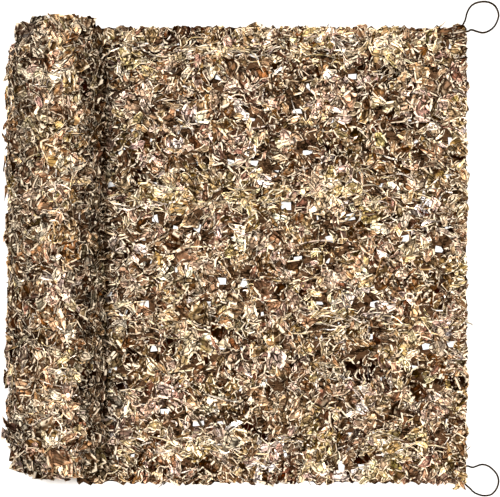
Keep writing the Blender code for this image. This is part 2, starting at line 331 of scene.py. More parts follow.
def on_barrel(angles, ys):
    """The roll's skin seen from its axis. Angle 0 is +X and a quarter turn is up."""
    ways = np.column_stack((np.cos(angles), np.zeros(len(ys)), np.sin(angles)))
    places, normals, found = cast(roll_tree, axis_at(ys), ways)
    facing = np.sign(np.einsum("ij,ij->i", normals, ways))[:, None]
    return places, normals * facing, found


def on_end(plan, way):
    """The skin of one end, where plan holds X and Z. Way is +1 or -1."""
    starts = np.column_stack((plan[:, 0], np.full(len(plan), ROLL_Y + way), plan[:, 1]))
    return cast(roll_tree, starts, np.tile((0.0, -way, 0.0), (len(plan), 1)))


# %% [markdown]
# ## Leaf patterns
# The cutter makes a few kinds of flap: long and short leaves, hooks, lobes and broad tongues. Each
# is modelled once, 1 m long. A sphere with four sides and few rings is turned on its side: its
# poles are the leaf's root and tip, and each ring is moved and scaled, one by one, to the leaf's
# outline. That gives a closed thin leaf with a fold line along its middle, for 16 to 40 triangles.

# %% Model the patterns
LEAF_PATTERNS = {
    # name: rings of (station, half width, sideways shift) as shares of the leaf's length
    "kite": ((0.36, 0.25, 0.04), (0.72, 0.15, -0.03)),
    "shard": ((0.10, 0.17, -0.05), (0.62, 0.13, 0.09)),
    "flake": ((0.06, 0.22, 0.00), (0.46, 0.30, 0.06), (0.90, 0.13, -0.05)),
    "tongue": ((0.08, 0.13, 0.02), (0.50, 0.20, -0.04), (0.84, 0.17, 0.05)),
    "lobe": ((0.07, 0.19, 0.00), (0.45, 0.30, 0.04), (0.84, 0.25, -0.03), (0.96, 0.14, 0.02)),
    "hook": ((0.20, 0.09, 0.06), (0.50, 0.13, 0.17), (0.82, 0.10, 0.12)),
    "blade": ((0.15, 0.06, 0.00), (0.50, 0.09, 0.04), (0.84, 0.05, -0.02)),
    "torn": (
        (0.10, 0.16, 0.02), (0.28, 0.27, -0.04), (0.46, 0.12, 0.03), (0.68, 0.22, -0.05),
        (0.88, 0.07, 0.02),
    ),
}
STRAND_RINGS = 9
STRAND_WIDTHS = (0.55, 0.85, 1.0, 0.9, 1.0, 0.85, 1.0, 0.8, 0.5)
HALF_THICKNESS = 0.01
ASIDE = 2.0  # a ring that has its shape waits this far along, out of the way of the next
SAME_RING, DIGITS = 1e-4, 5


def model_pattern(name, rings):
    """Points, triangles and ring numbers of one pattern, modelled from a four-sided sphere."""
    bpy.ops.object.select_all(action="DESELECT")
    bpy.ops.mesh.primitive_uv_sphere_add(
        segments=4,
        ring_count=len(rings) + 1,
        radius=0.5,
        location=(0.5, 0, 0),
        rotation=(0, math.pi / 2, 0),
    )
    bpy.ops.object.transform_apply()
    model = bpy.context.object
    bpy.ops.object.mode_set(mode="EDIT")
    for count, (station, half_width, shift) in enumerate(rings, start=1):
        turn = math.pi * count / (len(rings) + 1)
        x, radius = 0.5 - 0.5 * math.cos(turn), 0.5 * math.sin(turn)
        pick("verts", lambda vert: abs(vert.co.x - x) < SAME_RING)
        shape = (1, half_width / radius, HALF_THICKNESS / radius)
        bpy.ops.transform.resize(value=shape, center_override=(x, 0, 0))
        bpy.ops.transform.translate(value=(ASIDE + station - x, shift, 0))
    pick("verts", lambda vert: vert.co.x > ASIDE - 0.5)
    bpy.ops.transform.translate(value=(-ASIDE, 0, 0))
    bpy.ops.mesh.select_all(action="SELECT")
    bpy.ops.mesh.normals_make_consistent(inside=False)
    bpy.ops.object.mode_set(mode="OBJECT")
    mesh = model.data
    mesh.calc_loop_triangles()
    points = np.array([vert.co for vert in mesh.vertices])
    faces = np.array([triangle.vertices for triangle in mesh.loop_triangles])
    faces = faces[np.lexsort(faces.T)]  # the same order on every run
    bpy.data.objects.remove(model)
    stations, _, shifts = np.array(((0, 0, 0), *rings, (1, 0, 0)), float).T
    ring_of = np.abs(stations - points[:, :1]).argmin(axis=1)
    side = points[:, 1] - shifts[ring_of]
    at_edge = (np.abs(points[:, 2]) < HALF_THICKNESS / 2).astype(float)
    top = np.sign(np.round(points[:, 2], DIGITS))
    print(name, len(points), "points", len(faces), "triangles")
    return dict(points=points, faces=faces, ring=ring_of, side=side, edge=at_edge, top=top)


patterns = {name: model_pattern(name, rings) for name, rings in LEAF_PATTERNS.items()}
strand = model_pattern(
    "strand",
    [((i + 1) / (STRAND_RINGS + 1), w, 0.0) for i, w in enumerate(STRAND_WIDTHS)],
)

# %% [markdown]
# ## Dyes
# The print shows dead grass and leaf litter: straw, fawn, umber, a little rust, mauve, khaki and
# slate, and each flap carries a different bit of it. So every leaf draws one dye, and slow waves
# over the cloth make one family common here and another there, as drifts of a print do.

# %% Draw the dyes
DYES = {
    # family: share of the cloth, darkest and lightest green as seen in this light, how far red
    # lies above it, and how far blue lies below it, all 0 to 255
    "straw": (0.17, 145, 230, 19, 36),
    "fawn": (0.25, 110, 212, 24, 23),
    "umber": (0.20, 72, 160, 27, 28),
    "mauve": (0.13, 85, 175, 28, 15),
    "khaki": (0.06, 90, 185, 19, 31),
    "slate": (0.05, 85, 175, 18, 15),
    "rust": (0.02, 75, 150, 34, 26),
    "bark": (0.05, 30, 68, 26, 22),
    "cream": (0.07, 203, 232, 14, 18),
}
MIDDLE_GREEN = 150  # darker dyes than this are a little warmer, and paler ones much less so
WARMER_RED, WARMER_BLUE, PALER_RED, PALER_BLUE, RED_SPREAD = 2, 4, 6, 14, 3
GREEN_LIMITS = (10, 252)
DRIFT_WAVES, DRIFT_PACE, DRIFT_SCALE = 7, (0.6, 1.6), 2.6
DRIFT_FORCE, DRIFT_SEED = 1.7, 100
HUE_DRIFT, HUE_PATCH, HUE_SEED = 0.18, 0.11, 140  # some parts of the print are yellower
HUE_LIMIT = 0.35  # and none is much bluer
MOTIF_SIZE, MOTIF_LIGHT, MOTIF_SEEDS = 0.045, 10, (90, 91)
MOTIF_HOLD = 0.45  # the share of leaves that show the motif they were cut from
LAID_PATCH, ROLL_PATCH = 0.16, 0.10  # how large the drifts of one family are
FULL_LIGHT = 1.37  # how much brighter than its own colour a level white thing looks here


def as_light(colours):
    """Colours as seen, 0 to 255, as the linear numbers that a shader works with."""
    share = np.asarray(colours, float).clip(3, 255) / 255
    # the curve that screens use
    return np.where(share <= 0.04045, share / 12.92, ((share + 0.055) / 1.055) ** 2.4)


def dye_of(family, draw, lighter):
    """Linear colours drawn from a family, each made lighter by its own amount."""
    _, darkest, lightest, red, blue = DYES[family]
    green = (draw.uniform(darkest, lightest, len(lighter)) + lighter).clip(*GREEN_LIMITS)
    depth = (MIDDLE_GREEN - green) / MIDDLE_GREEN
    pale = np.minimum(depth, 0)
    own = draw.normal(0, RED_SPREAD, len(lighter))
    red = red + WARMER_RED * depth + PALER_RED * pale + own
    blue = blue + WARMER_BLUE * depth + PALER_BLUE * pale
    seen = np.column_stack((green + red, green, green - blue))
    return as_light(seen) / FULL_LIGHT


def drift(places, size, seed):
    """A smooth random wave over places, about -1 to 1, with patches of about this size."""
    draw = np.random.default_rng(seed)
    total = np.zeros(len(places))
    for _ in range(DRIFT_WAVES):
        way = draw.normal(size=places.shape[1])
        way *= draw.uniform(*DRIFT_PACE) * math.pi / size / np.linalg.norm(way)
        total += np.sin(places @ way + draw.uniform(0, 2 * math.pi))
    return total / DRIFT_SCALE


def in_space(place):
    return Vector((*place, 0.0)[:3])


def print_cells(places, size, seed):
    """The printed motif under each place: the number of the nearest of the print's own points."""
    draw = np.random.default_rng(seed)
    low, high = places.min(axis=0) - size, places.max(axis=0) + size
    count = int(np.prod(np.maximum((high - low) / size, 1.0)))
    middles = draw.uniform(low, high, (count, places.shape[1]))
    nearest = KDTree(len(middles))
    for number, middle in enumerate(middles):
        nearest.insert(in_space(middle), number)
    nearest.balance()
    return np.array([nearest.find(in_space(place))[1] for place in places])


def draw_dyes(places, draw, light, lean, patch=LAID_PATCH):
    """One linear colour for each place. Lean multiplies the share of the families it names."""
    names = list(DYES)
    weights = np.stack([
        DYES[name][0]
        * lean.get(name, 1.0)
        * np.exp(DRIFT_FORCE * drift(places, patch, DRIFT_SEED + count))
        for count, name in enumerate(names)
    ], axis=1)
    limits = np.cumsum(weights / weights.sum(axis=1, keepdims=True), axis=1)
    motif = print_cells(places, MOTIF_SIZE, MOTIF_SEEDS[0])
    shared = np.random.default_rng(MOTIF_SEEDS[1]).random((motif.max() + 1, 2))[motif]
    own = draw.random(len(places))
    chance = np.where(draw.random(len(places)) < MOTIF_HOLD, shared[:, 0], own)
    family = (chance[:, None] > limits).sum(axis=1).clip(0, len(names) - 1)
    lighter = draw.uniform(*light, len(places)) + MOTIF_LIGHT * (shared[:, 1] - 0.5)
    colours = np.zeros((len(places), 3))
    for count, name in enumerate(names):
        chosen = np.flatnonzero(family == count)
        colours[chosen] = dye_of(name, draw, lighter[chosen])
    yellower = drift(places, HUE_PATCH, HUE_SEED).clip(-HUE_LIMIT, 1)
    colours[:, 2] *= np.exp(-HUE_DRIFT * yellower)
    return colours


# %% [markdown]
# ## Plant the leaves
# A leaf in the air is bent along its length, cupped across it and twisted, each by its own amount.
# Then it is turned to its heading, tipped up from the cloth and set on its root. All copies of a
# pattern are worked out at once as one block of numbers.

# %% Bend and place leaves
LEAF_THICKNESS = 0.0009
FLOOR_CLEAR, HIGHEST = 0.0004, 0.315  # no leaf goes below or above these
LEAST_CURL = 0.01


def bent(pattern, batch):
    """Copies x points x 3: the pattern at each leaf's size, bent along, cupped and twisted."""
    along = pattern["points"][None, :, 0]
    length = batch["length"][:, None]
    side = pattern["points"][None, :, 1] * length * batch["breadth"][:, None]
    depth = pattern["top"][None, :] * LEAF_THICKNESS / 2
    depth = depth + batch["cup"][:, None] * side**2 / length
    turn = batch["twist"][:, None] * along
    side, depth = (
        side * np.cos(turn) - depth * np.sin(turn),
        side * np.sin(turn) + depth * np.cos(turn),
    )
    curl = np.where(np.abs(batch["curl"]) < LEAST_CURL, LEAST_CURL, batch["curl"])[:, None]
    bend = curl * along
    x = length / curl * np.sin(bend) - depth * np.sin(bend)
    z = length / curl * (1 - np.cos(bend)) + depth * np.cos(bend)
    return np.stack((x, side, z), axis=-1)


def surface_axes(normals, heading, reference):
    """Forward and left directions on the surface, where heading turns from the reference."""
    first = unit(reference - (normals @ reference)[:, None] * normals)
    second = np.cross(normals, first)
    turn = heading[:, None]
    forward = first * np.cos(turn) + second * np.sin(turn)
    return forward, np.cross(normals, forward)


def placed(shapes, batch, reference):
    """Turns and tips the shapes, and sets them on their roots."""
    up = batch["normal"]
    forward, left = surface_axes(up, batch["heading"], reference)
    tilt, bank = batch["tilt"][:, None], batch["bank"][:, None]
    ahead = forward * np.cos(tilt) + up * np.sin(tilt)
    rise = up * np.cos(tilt) - forward * np.sin(tilt)
    flank = left * np.cos(bank) + rise * np.sin(bank)
    crown = rise * np.cos(bank) - left * np.sin(bank)
    x, y, z = (shapes[:, :, axis, None] for axis in range(3))
    spread = x * ahead[:, None] + y * flank[:, None] + z * crown[:, None]
    spread = spread + batch["root"][:, None]
    spread[:, :, 2] = spread[:, :, 2].clip(FLOOR_CLEAR, HIGHEST)
    return spread


# %% Join the copies
PRINT_SPAN = 3.0  # leaves take their bit of print from a square of this side
PRINT_SHEETS = 97  # and each lies on one of this many sheets of it
CELL_INSET = 0.12


def copies(pattern, points, dyes, flat, numbers, cells, grid):
    """Copies of a pattern at these points, as arrays to join.

    Flat is each point's place on the print. Each copy has its own cell of the grid of the map.
    """
    count, size = points.shape[:2]
    along, side = pattern["points"][:, 0], pattern["side"]
    across = (side / (2 * np.abs(side).max()) + 0.5).clip(0, 1)
    sheet = np.broadcast_to((numbers % PRINT_SHEETS)[:, None, None], (count, size, 1))
    corners = []
    for cell, share, wide in zip((cells % grid[0], cells // grid[0]), (along, across), grid):
        inside = CELL_INSET + (1 - 2 * CELL_INSET) * share[None, :]
        corners.append(((cell[:, None] + inside) / wide)[:, pattern["faces"]])
    return {
        "points": points.reshape(-1, 3),
        "faces": (pattern["faces"][None] + size * np.arange(count)[:, None, None]).reshape(-1, 3),
        "map": np.stack(corners, axis=-1).reshape(-1, 2),
        "dye": np.repeat(dyes, size, axis=0),
        "print_place": np.concatenate((flat, sheet), axis=2).reshape(-1, 3),
        "edge": np.tile(pattern["edge"], count),
        "reach": np.tile(along, count),
    }


def join_copies(name, parts):
    """One piece of all these copies."""
    start = 0
    for part in parts:
        part["faces"] += start
        start += len(part["points"])
    joined = {label: np.concatenate([part[label] for part in parts]) for label in parts[0]}
    points, faces, corners = (joined.pop(label) for label in ("points", "faces", "map"))
    return new_piece(name, points, faces, joined, corners)


def plant(name, batch, reference, draw, kinds=tuple(LEAF_PATTERNS), press=None):
    """One mesh of all the leaves in the batch, each of a pattern drawn from these kinds."""
    count = len(batch["root"])
    kind_of = draw.integers(len(kinds), size=count)
    offset = draw.uniform(0, PRINT_SPAN, (count, 2))
    grid = (math.ceil(math.sqrt(count)),) * 2
    parts, cell = [], 0
    for number, kind in enumerate(kinds):
        pattern = patterns[kind]
        chosen = np.flatnonzero(kind_of == number)
        mine = {key: values[chosen] for key, values in batch.items()}
        spread = placed(bent(pattern, mine), mine, reference)
        spread = press(spread, mine) if press else spread
        flat = pattern["points"][None, :, :2] * mine["length"][:, None, None]
        flat = flat + offset[chosen][:, None, :]
        cells = cell + np.arange(len(chosen))
        parts.append(copies(pattern, spread, mine["dye"], flat, chosen, cells, grid))
        cell += len(chosen)
    return join_copies(name, parts)


# %% [markdown]
# The laid end has three layers. Broad flat leaves lie at the bottom, with smaller and livelier
# ones over them. Roots are spread on a loose grid, because pure chance would leave bare patches.
# A leaf is kept only where cloth lies under its root and its length, but for a few whose tips may
# hang over a gap.

# %% Leaves of the laid end
def table(columns, **rows):
    """Each row's values under the names of the columns."""
    return {name: dict(zip(columns.split(), row)) for name, row in rows.items()}


LAID_LEFT, LAID_RIGHT = -0.490, 0.750
LAID_BOTTOM, LAID_TOP = -0.764, 0.747
# lengths are in metres, breadths as shares of a pattern's own, angles in degrees, and light is how
# much lighter than its family a leaf is, in steps of 0 to 255: a random tone, plus a painted shade
# that makes the lower layers darker
LAID_LAYERS = table(
    "seed spacing length breadth tilt curl lift light",
    laid_leaves_under=(
        11, 0.033, (0.060, 0.086), (1.1, 1.6), (-3, 7), (-20, 25), (0.001, 0.003), (-80, -10),
    ),
    laid_leaves_middle=(
        12, 0.036, (0.048, 0.074), (0.9, 1.4), (1, 16), (-30, 50), (0.004, 0.008), (-35, 35),
    ),
    laid_leaves_upper=(
        13, 0.044, (0.034, 0.060), (0.7, 1.2), (3, 26), (-20, 90), (0.008, 0.013), (-25, 45),
    ),
)
COVERED_SHARES = ((0.2, 0.0), (0.4, 0.28), (0.4, -0.28), (0.8, 0.2), (0.8, -0.2), (1.0, 0.0))
LOOSE_TIPS = 0.07  # the share of leaves whose outer half may hang over a gap
CLOTH_FOOT = (-1.0, -0.7585)  # the edges of the laid cloth, but for its tips
CLOTH_CORNER = (0.747, 0.7415)
TIP_REACH = (0.006, 0.010)  # how far a leaf may stand out past the cut end and the long edges
ROLL_SHADE_X = -0.36  # from here to the roll, leaves cover the gaps
STRAW_BANDS = (0.670, 0.174, -0.224, -0.640)  # of Y, where the print shows most straw
STRAW_BAND_HALF = 0.050
BESIDE_BANDS, IN_BANDS = 0.4, 3.6  # how many times the share of straw there is
VALLEY_X, VALLEY_WIDTH, VALLEY_PAINTED_SHADE = -0.36, 0.07, 0.62  # painted shade on the leaves beside the roll


def loose_grid(low, high, spacing, draw):
    """Points spread evenly over a rectangle, each moved at random by up to half the spacing."""
    axes = [np.arange(a + spacing / 2, b, spacing) for a, b in zip(low, high)]
    grid = np.stack(np.meshgrid(*axes, indexing="ij"), axis=-1).reshape(-1, 2)
    return grid + draw.uniform(-0.5, 0.5, grid.shape) * spacing


CUP, BANK, TWIST = (-3.0, 3.5), (-24, 24), (-40, 40)
ROOT_LEAN = 0.05


def leaf_batch(count, draw, layer):
    """Sizes, bends and headings of this many leaves of a layer."""
    return {
        "length": draw.uniform(*layer["length"], count),
        "breadth": draw.uniform(*layer["breadth"], count),
        "tilt": np.radians(draw.uniform(*layer["tilt"], count)),
        "bank": np.radians(draw.uniform(*BANK, count)),
        "curl": np.radians(draw.uniform(*layer["curl"], count)),
        "cup": draw.uniform(*CUP, count),
        "twist": np.radians(draw.uniform(*TWIST, count)),
        "heading": draw.uniform(0, 2 * math.pi, count),
    }


def kept(batch, keep):
    return {key: values[keep] for key, values in batch.items()}


def in_straw_band(y):
    """1 in the middle of a band of straw, falling to 0 beside it."""
    return sum(np.exp(-(((y - centre) / STRAW_BAND_HALF) ** 2)) for centre in STRAW_BANDS)


def over_cloth(plan, batch, draw):
    """Whether each leaf lies over cloth, or past the cloth's edge by no more than its tip."""
    loose = draw.random(len(plan)) < LOOSE_TIPS
    ahead = np.column_stack((np.cos(batch["heading"]), np.sin(batch["heading"])))
    aside = np.column_stack((-ahead[:, 1], ahead[:, 0]))
    covered = np.ones(len(plan), bool)
    for along, across in COVERED_SHARES:
        reach = ahead * along + aside * across * batch["breadth"][:, None]
        points = plan + reach * batch["length"][:, None]
        outside = np.maximum(points - CLOTH_CORNER, CLOTH_FOOT - points)
        found = on_laid(points)[2] | (plan[:, 0] < ROLL_SHADE_X) | (loose & (along > 0.5))
        near = (outside < TIP_REACH).all(axis=1)
        covered &= np.where((outside > 0).any(axis=1), near, found)
    return covered


def laid_leaves(name):
    layer = LAID_LAYERS[name]
    draw = np.random.default_rng(layer["seed"])
    plan = loose_grid((LAID_LEFT, LAID_BOTTOM), (LAID_RIGHT, LAID_TOP), layer["spacing"], draw)
    batch = leaf_batch(len(plan), draw, layer)
    places, _, rooted = on_laid(plan)
    covered = rooted & over_cloth(plan, batch, draw)
    places[:, 2] += draw.uniform(*layer["lift"], len(plan))
    batch["root"] = places
    lean = draw.normal(0, ROOT_LEAN, (len(plan), 2))
    batch["normal"] = unit(np.column_stack((lean, np.ones(len(plan)))))
    more_straw = {"straw": BESIDE_BANDS + IN_BANDS * in_straw_band(plan[:, 1])}
    batch["dye"] = draw_dyes(plan, draw, layer["light"], more_straw)
    # painted shade on the leaves next to the roll, where the roll shades the laid cloth
    valley_shade_share = np.clip((VALLEY_X - plan[:, :1]) / VALLEY_WIDTH, 0, 1)
    batch["dye"] *= 1 - VALLEY_PAINTED_SHADE * valley_shade_share
    return plant(name, kept(batch, covered), ALONG_X, draw)


laid_pieces = [laid_leaves(name) for name in LAID_LAYERS]

# %% [markdown]
# The roll's leaves are packed closer and pressed down by the winding. They grow all round the
# barrel and over both soft ends, and those at the ends stand out more, where the turns lie open.

# %% Leaves of the roll
# light as on the laid end: a random tone, with painted shade that makes the lower layer darker
ROLL_LAYERS = table(
    "seed spacing length breadth tilt curl lift light",
    roll_leaves_under=(
        31, 0.029, (0.056, 0.080), (1.0, 1.5), (-4, 6), (-20, 20), (0.000, 0.002), (-65, 5),
    ),
    roll_leaves_upper=(
        32, 0.031, (0.040, 0.072), (0.9, 1.4), (-1, 12), (-25, 40), (0.002, 0.006), (0, 48),
    ),
)
PAINTED_SLOPE_SHADES = (
    # painted shade and light on the roll: side of the roll as the sign of X, how much darker its
    # dye is painted (or lighter, below 0), and, by the slope of the skin, where that starts, is
    # full and fades again. It darkens both flanks and lightens the top and the outer rim.
    (1, 0.82, 0.52, 0.76, 0.93),
    (-1, 0.70, 0.28, 0.56, 0.84),
    (-1, -0.30, 0.86, 0.96, 2.00),
    (1, -0.30, -0.05, 0.10, 0.42),
)
ROLL_LEAN = {"rust": 1.4, "slate": 2.4, "straw": 0.7, "cream": 0.15}
ROLL_LIGHTEST = (0.42, 0.375, 0.305)
LOWEST_ROOT = 0.012
PRESS_ROOM, PRESS_SHARE = 0.002, 0.80
VALLEY_ROOM = 0.016  # more of it where the roll meets the laid cloth
OUTER_PRESS = 0.003  # and less on the outer side
TIP_ROOM = 0.012  # and more for the most cupped leaves, so that some tips stand out
END_ROOM = 0.006
LEAVES_Y = ROLL_Y + 0.005
BARREL_ANGLES = (math.radians(-75), math.radians(255))
END_RADIUS = 0.60 * ROLL_RADIUS
END_CENTRE = (ROLL_X + 0.026, AXIS_Z - 0.010)
END_SHARE = 0.08  # of the leaves there, so that the turns show
END_SLOPE, END_CALM = 0.6, 0.3  # past this slope a leaf is on an end, and lies calmer
PAINTED_SHADE_FADE = 0.10
ROLL_ROOT_LEAN = 0.08


def roll_roots(spacing, draw):
    """Roots and normals over the barrel and both ends."""
    low = (BARREL_ANGLES[0] * ROLL_RADIUS, ROLL_Y - ROLL_LENGTH / 2)
    high = (BARREL_ANGLES[1] * ROLL_RADIUS, ROLL_Y + ROLL_LENGTH / 2)
    plan = loose_grid(low, high, spacing, draw)
    groups = [on_barrel(plan[:, 0] / ROLL_RADIUS, plan[:, 1])]
    for way in (-1, 1):
        plan = loose_grid((-END_RADIUS,) * 2, (END_RADIUS,) * 2, spacing, draw)
        plan = plan[np.hypot(*plan.T) < END_RADIUS] + END_CENTRE
        groups.append(on_end(plan[draw.random(len(plan)) < END_SHARE], way))
    places, normals, found = (np.concatenate(parts) for parts in zip(*groups))
    good = found & (places[:, 2] > LOWEST_ROOT)
    return places[good], normals[good]


def painted_slope_shade(normals):
    """Painted shade and light for the dye, by the slope of the roll's skin."""
    shade = np.ones((len(normals), 1))
    for side, share, start, full, fade in PAINTED_SLOPE_SHADES:
        slope = side * normals[:, :1]
        deep = np.clip((slope - start) / (full - start), 0, 1)
        shade *= 1 - share * deep * np.clip(1 - (slope - fade) / PAINTED_SHADE_FADE, 0, 1)
    return shade


def roll_dyes(roots, normals, draw, layer):
    """Dyes for leaves of the roll, with painted shade and light by the slope."""
    colours = draw_dyes(roots, draw, layer["light"], ROLL_LEAN, ROLL_PATCH)
    # the cap is the dye's own limit; the slope factor is painted shade and light
    return np.minimum(colours, ROLL_LIGHTEST) * painted_slope_shade(normals)


def pressed(spread, batch):
    """Leaves held to the roll by the winding, so that their tips don't stand far out from it."""
    axis = np.array((ROLL_X, AXIS_Z))
    offset = spread[:, :, ::2] - axis
    out = np.linalg.norm(offset, axis=2, keepdims=True)
    room = PRESS_ROOM + batch["length"] * np.abs(batch["normal"][:, 1])
    room += VALLEY_ROOM * np.maximum(batch["normal"][:, 0], 0) ** 2
    room -= OUTER_PRESS * np.maximum(-batch["normal"][:, 0], 0) ** 2
    room += TIP_ROOM * (batch["cup"] / CUP[1]).clip(0, 1) ** 3 + batch.get("room", 0)
    limit = np.linalg.norm(batch["root"][:, ::2] - axis, axis=1) + room
    over = np.maximum(out - limit[:, None, None], 0)
    spread[:, :, ::2] = axis + offset * (1 - PRESS_SHARE * over / out)
    from_middle = spread[:, :, 1] - LEAVES_Y
    past_end = np.maximum(np.abs(from_middle) - ROLL_LENGTH / 2 + END_ROOM, 0)
    spread[:, :, 1] -= np.sign(from_middle) * PRESS_SHARE * past_end
    return spread


def wrapped(batch, normals):
    """The batch with its leaves bent round the barrel, as the winding presses them."""
    round_it = np.sin(batch["heading"]) ** 2 * np.hypot(normals[:, 0], normals[:, 2])
    batch["curl"] = batch["curl"] - batch["length"] / ROLL_RADIUS * round_it
    return batch


def roll_leaves(name):
    layer = ROLL_LAYERS[name]
    draw = np.random.default_rng(layer["seed"])
    roots, normals = roll_roots(layer["spacing"], draw)
    batch = wrapped(leaf_batch(len(roots), draw, layer), normals)
    on_end_face = np.abs(normals[:, 1]) > END_SLOPE
    batch["tilt"] = np.where(on_end_face, END_CALM * batch["tilt"], batch["tilt"])
    batch["curl"] = np.where(on_end_face, -np.abs(batch["curl"]), batch["curl"])
    batch["normal"] = unit(normals + draw.normal(0, ROLL_ROOT_LEAN, normals.shape))
    batch["root"] = roots + normals * draw.uniform(*layer["lift"], (len(roots), 1))
    batch["dye"] = roll_dyes(roots, normals, draw, layer)
    return plant(name, batch, ALONG_Y, draw, press=pressed)


roll_pieces = [roll_leaves(name) for name in ROLL_LAYERS]

# %% [markdown]
# At both ends of the roll the last flaps of the barrel hang over the rim. They are the largest and
# softest leaves, and from above they make the roll's outline there. Those on its outer side are
# held less and fill the outline's corner.

# %% Flaps over the rims
END_FLAPS = {
    "seed": 41, "count": 88, "length": (0.056, 0.084), "breadth": (1.0, 1.4), "tilt": (-8, 2),
    "curl": (-60, -8), "lift": (0.004, 0.009), "light": (-25, 50),
}
FLAP_KINDS = ("lobe", "flake", "tongue", "lobe")
FLAP_ANGLES = (5, 205)
FLAP_LEAN = 0.4
FLAP_SHORT = (-0.012, 0.030)  # how far short of the end a flap stops
LOW_ANGLE, LOW_SHORT = math.radians(186), 0.024  # below this the end draws in, so flaps stop short
OUTER_SIDE = -0.70  # the cosine past which a flap is on the roll's outer side
OUTER_CALM, OUTER_TILT, OUTER_ROOM = 0.15, math.radians(9), 0.014  # there it fills the corner


def end_flaps():
    draw = np.random.default_rng(END_FLAPS["seed"])
    count = END_FLAPS["count"]
    way = np.repeat((-1.0, 1.0), count)
    angles = np.radians(draw.uniform(*FLAP_ANGLES, 2 * count))
    batch = leaf_batch(2 * count, draw, END_FLAPS)
    lean = draw.normal(0, FLAP_LEAN, 2 * count)
    from_end = batch["length"] * np.cos(lean) + draw.uniform(*FLAP_SHORT, 2 * count)
    from_end += LOW_SHORT * (angles > LOW_ANGLE)
    roots, normals, found = on_barrel(angles, LEAVES_Y + way * (ROLL_LENGTH / 2 - from_end))
    batch["heading"] = np.where(way > 0, 0, math.pi) + lean
    outer = np.cos(angles) < OUTER_SIDE
    batch["curl"] *= np.where(outer, OUTER_CALM, 1)
    batch["tilt"] = np.where(outer, OUTER_TILT, batch["tilt"])
    batch["room"] = np.where(outer, OUTER_ROOM, 0)
    batch["normal"] = normals
    batch["root"] = roots + normals * draw.uniform(*END_FLAPS["lift"], (2 * count, 1))
    batch["dye"] = roll_dyes(roots, normals, draw, END_FLAPS)
    return plant("roll_end_flaps", kept(batch, found), ALONG_Y, draw, FLAP_KINDS, pressed)


roll_pieces.append(end_flaps())

# %% [markdown]
# Each free corner ends in a few dark crumpled flaps, under which the cord is tied in.

# %% Corner flaps
CORNER_FLAPS = (
    # place in from the corner along X and Y, heading in degrees from +X, length, breadth, and
    # the colour as seen; the two grey ones are their own colour and partly a painted highlight
    (0.100, 0.014, 4, 0.056, 0.75, (112, 88, 66)),
    (0.030, 0.066, 75, 0.044, 0.90, (120, 96, 74)),
    (0.066, 0.026, 2, 0.068, 0.95, (58, 46, 38)),
    (0.062, 0.005, 14, 0.046, 0.75, (112, 100, 90)),
    (0.030, 0.010, -20, 0.034, 0.80, (84, 70, 62)),
    (0.052, 0.022, -22, 0.048, 0.50, (150, 136, 124)),
)
CORNER_SEED = 43
CORNER_HEIGHT, CORNER_STEP = 0.010, 0.001  # of the first flap, and of each over the last
CORNER_TILT, CORNER_CURL = (-6, 3), (-30, 10)


def corner_flaps():
    draw = np.random.default_rng(CORNER_SEED)
    rows = [(side, *row) for side in (-1, 1) for row in CORNER_FLAPS]
    side, in_x, in_y, heading, length, breadth = (np.array(part) for part in list(zip(*rows))[:6])
    corner = np.where(side > 0, CLOTH_CORNER[1], CLOTH_FOOT[1])
    plan = np.column_stack((CLOTH_CORNER[0] - in_x, corner - side * in_y))
    places, _, _ = on_laid(plan)
    places[:, 2] = CORNER_HEIGHT + CORNER_STEP * np.arange(len(rows))
    batch = leaf_batch(len(rows), draw, END_FLAPS)
    batch |= {"root": places, "length": length, "breadth": breadth}
    batch["heading"] = np.radians(heading) * side
    batch["tilt"] = np.radians(draw.uniform(*CORNER_TILT, len(rows)))
    batch["curl"] = np.radians(draw.uniform(*CORNER_CURL, len(rows)))
    batch["normal"] = np.tile(UP, (len(rows), 1))
    batch["dye"] = as_light([row[-1] for row in rows]) / FULL_LIGHT
    return plant("corner_flaps", batch, ALONG_X, draw, FLAP_KINDS)


laid_pieces.append(corner_flaps())

# %% [markdown]
# The laid end's edges are cut through the pattern, so a row of flaps stands out there. Along the
# cut end they stand out less, and one more row roots at the edge and lies back over the cloth.

# %% Flaps of the free edges
EDGE_FLAPS = {
    "seed": 45, "length": (0.040, 0.064), "breadth": (0.8, 1.3), "tilt": (-4, 8), "curl": (-30, 20),
    "lift": (0.004, 0.011), "light": (-60, 20),
}
EDGE_FLAP_SPACING = 0.011
EDGE_FLAP_XS, EDGE_FLAP_FROM_CORNER = (-0.44, 0.67), 0.01
EDGE_FLAP_TURN, EDGE_FLAP_LIMIT = 38, 1.2  # the spread in degrees, and the most in radians
EDGE_FLAP_PAST = (-0.002, 0.008)  # how far a tip lies past a long edge
EDGE_LEAN = {"umber": 2.0, "bark": 2.0, "cream": 1.3}


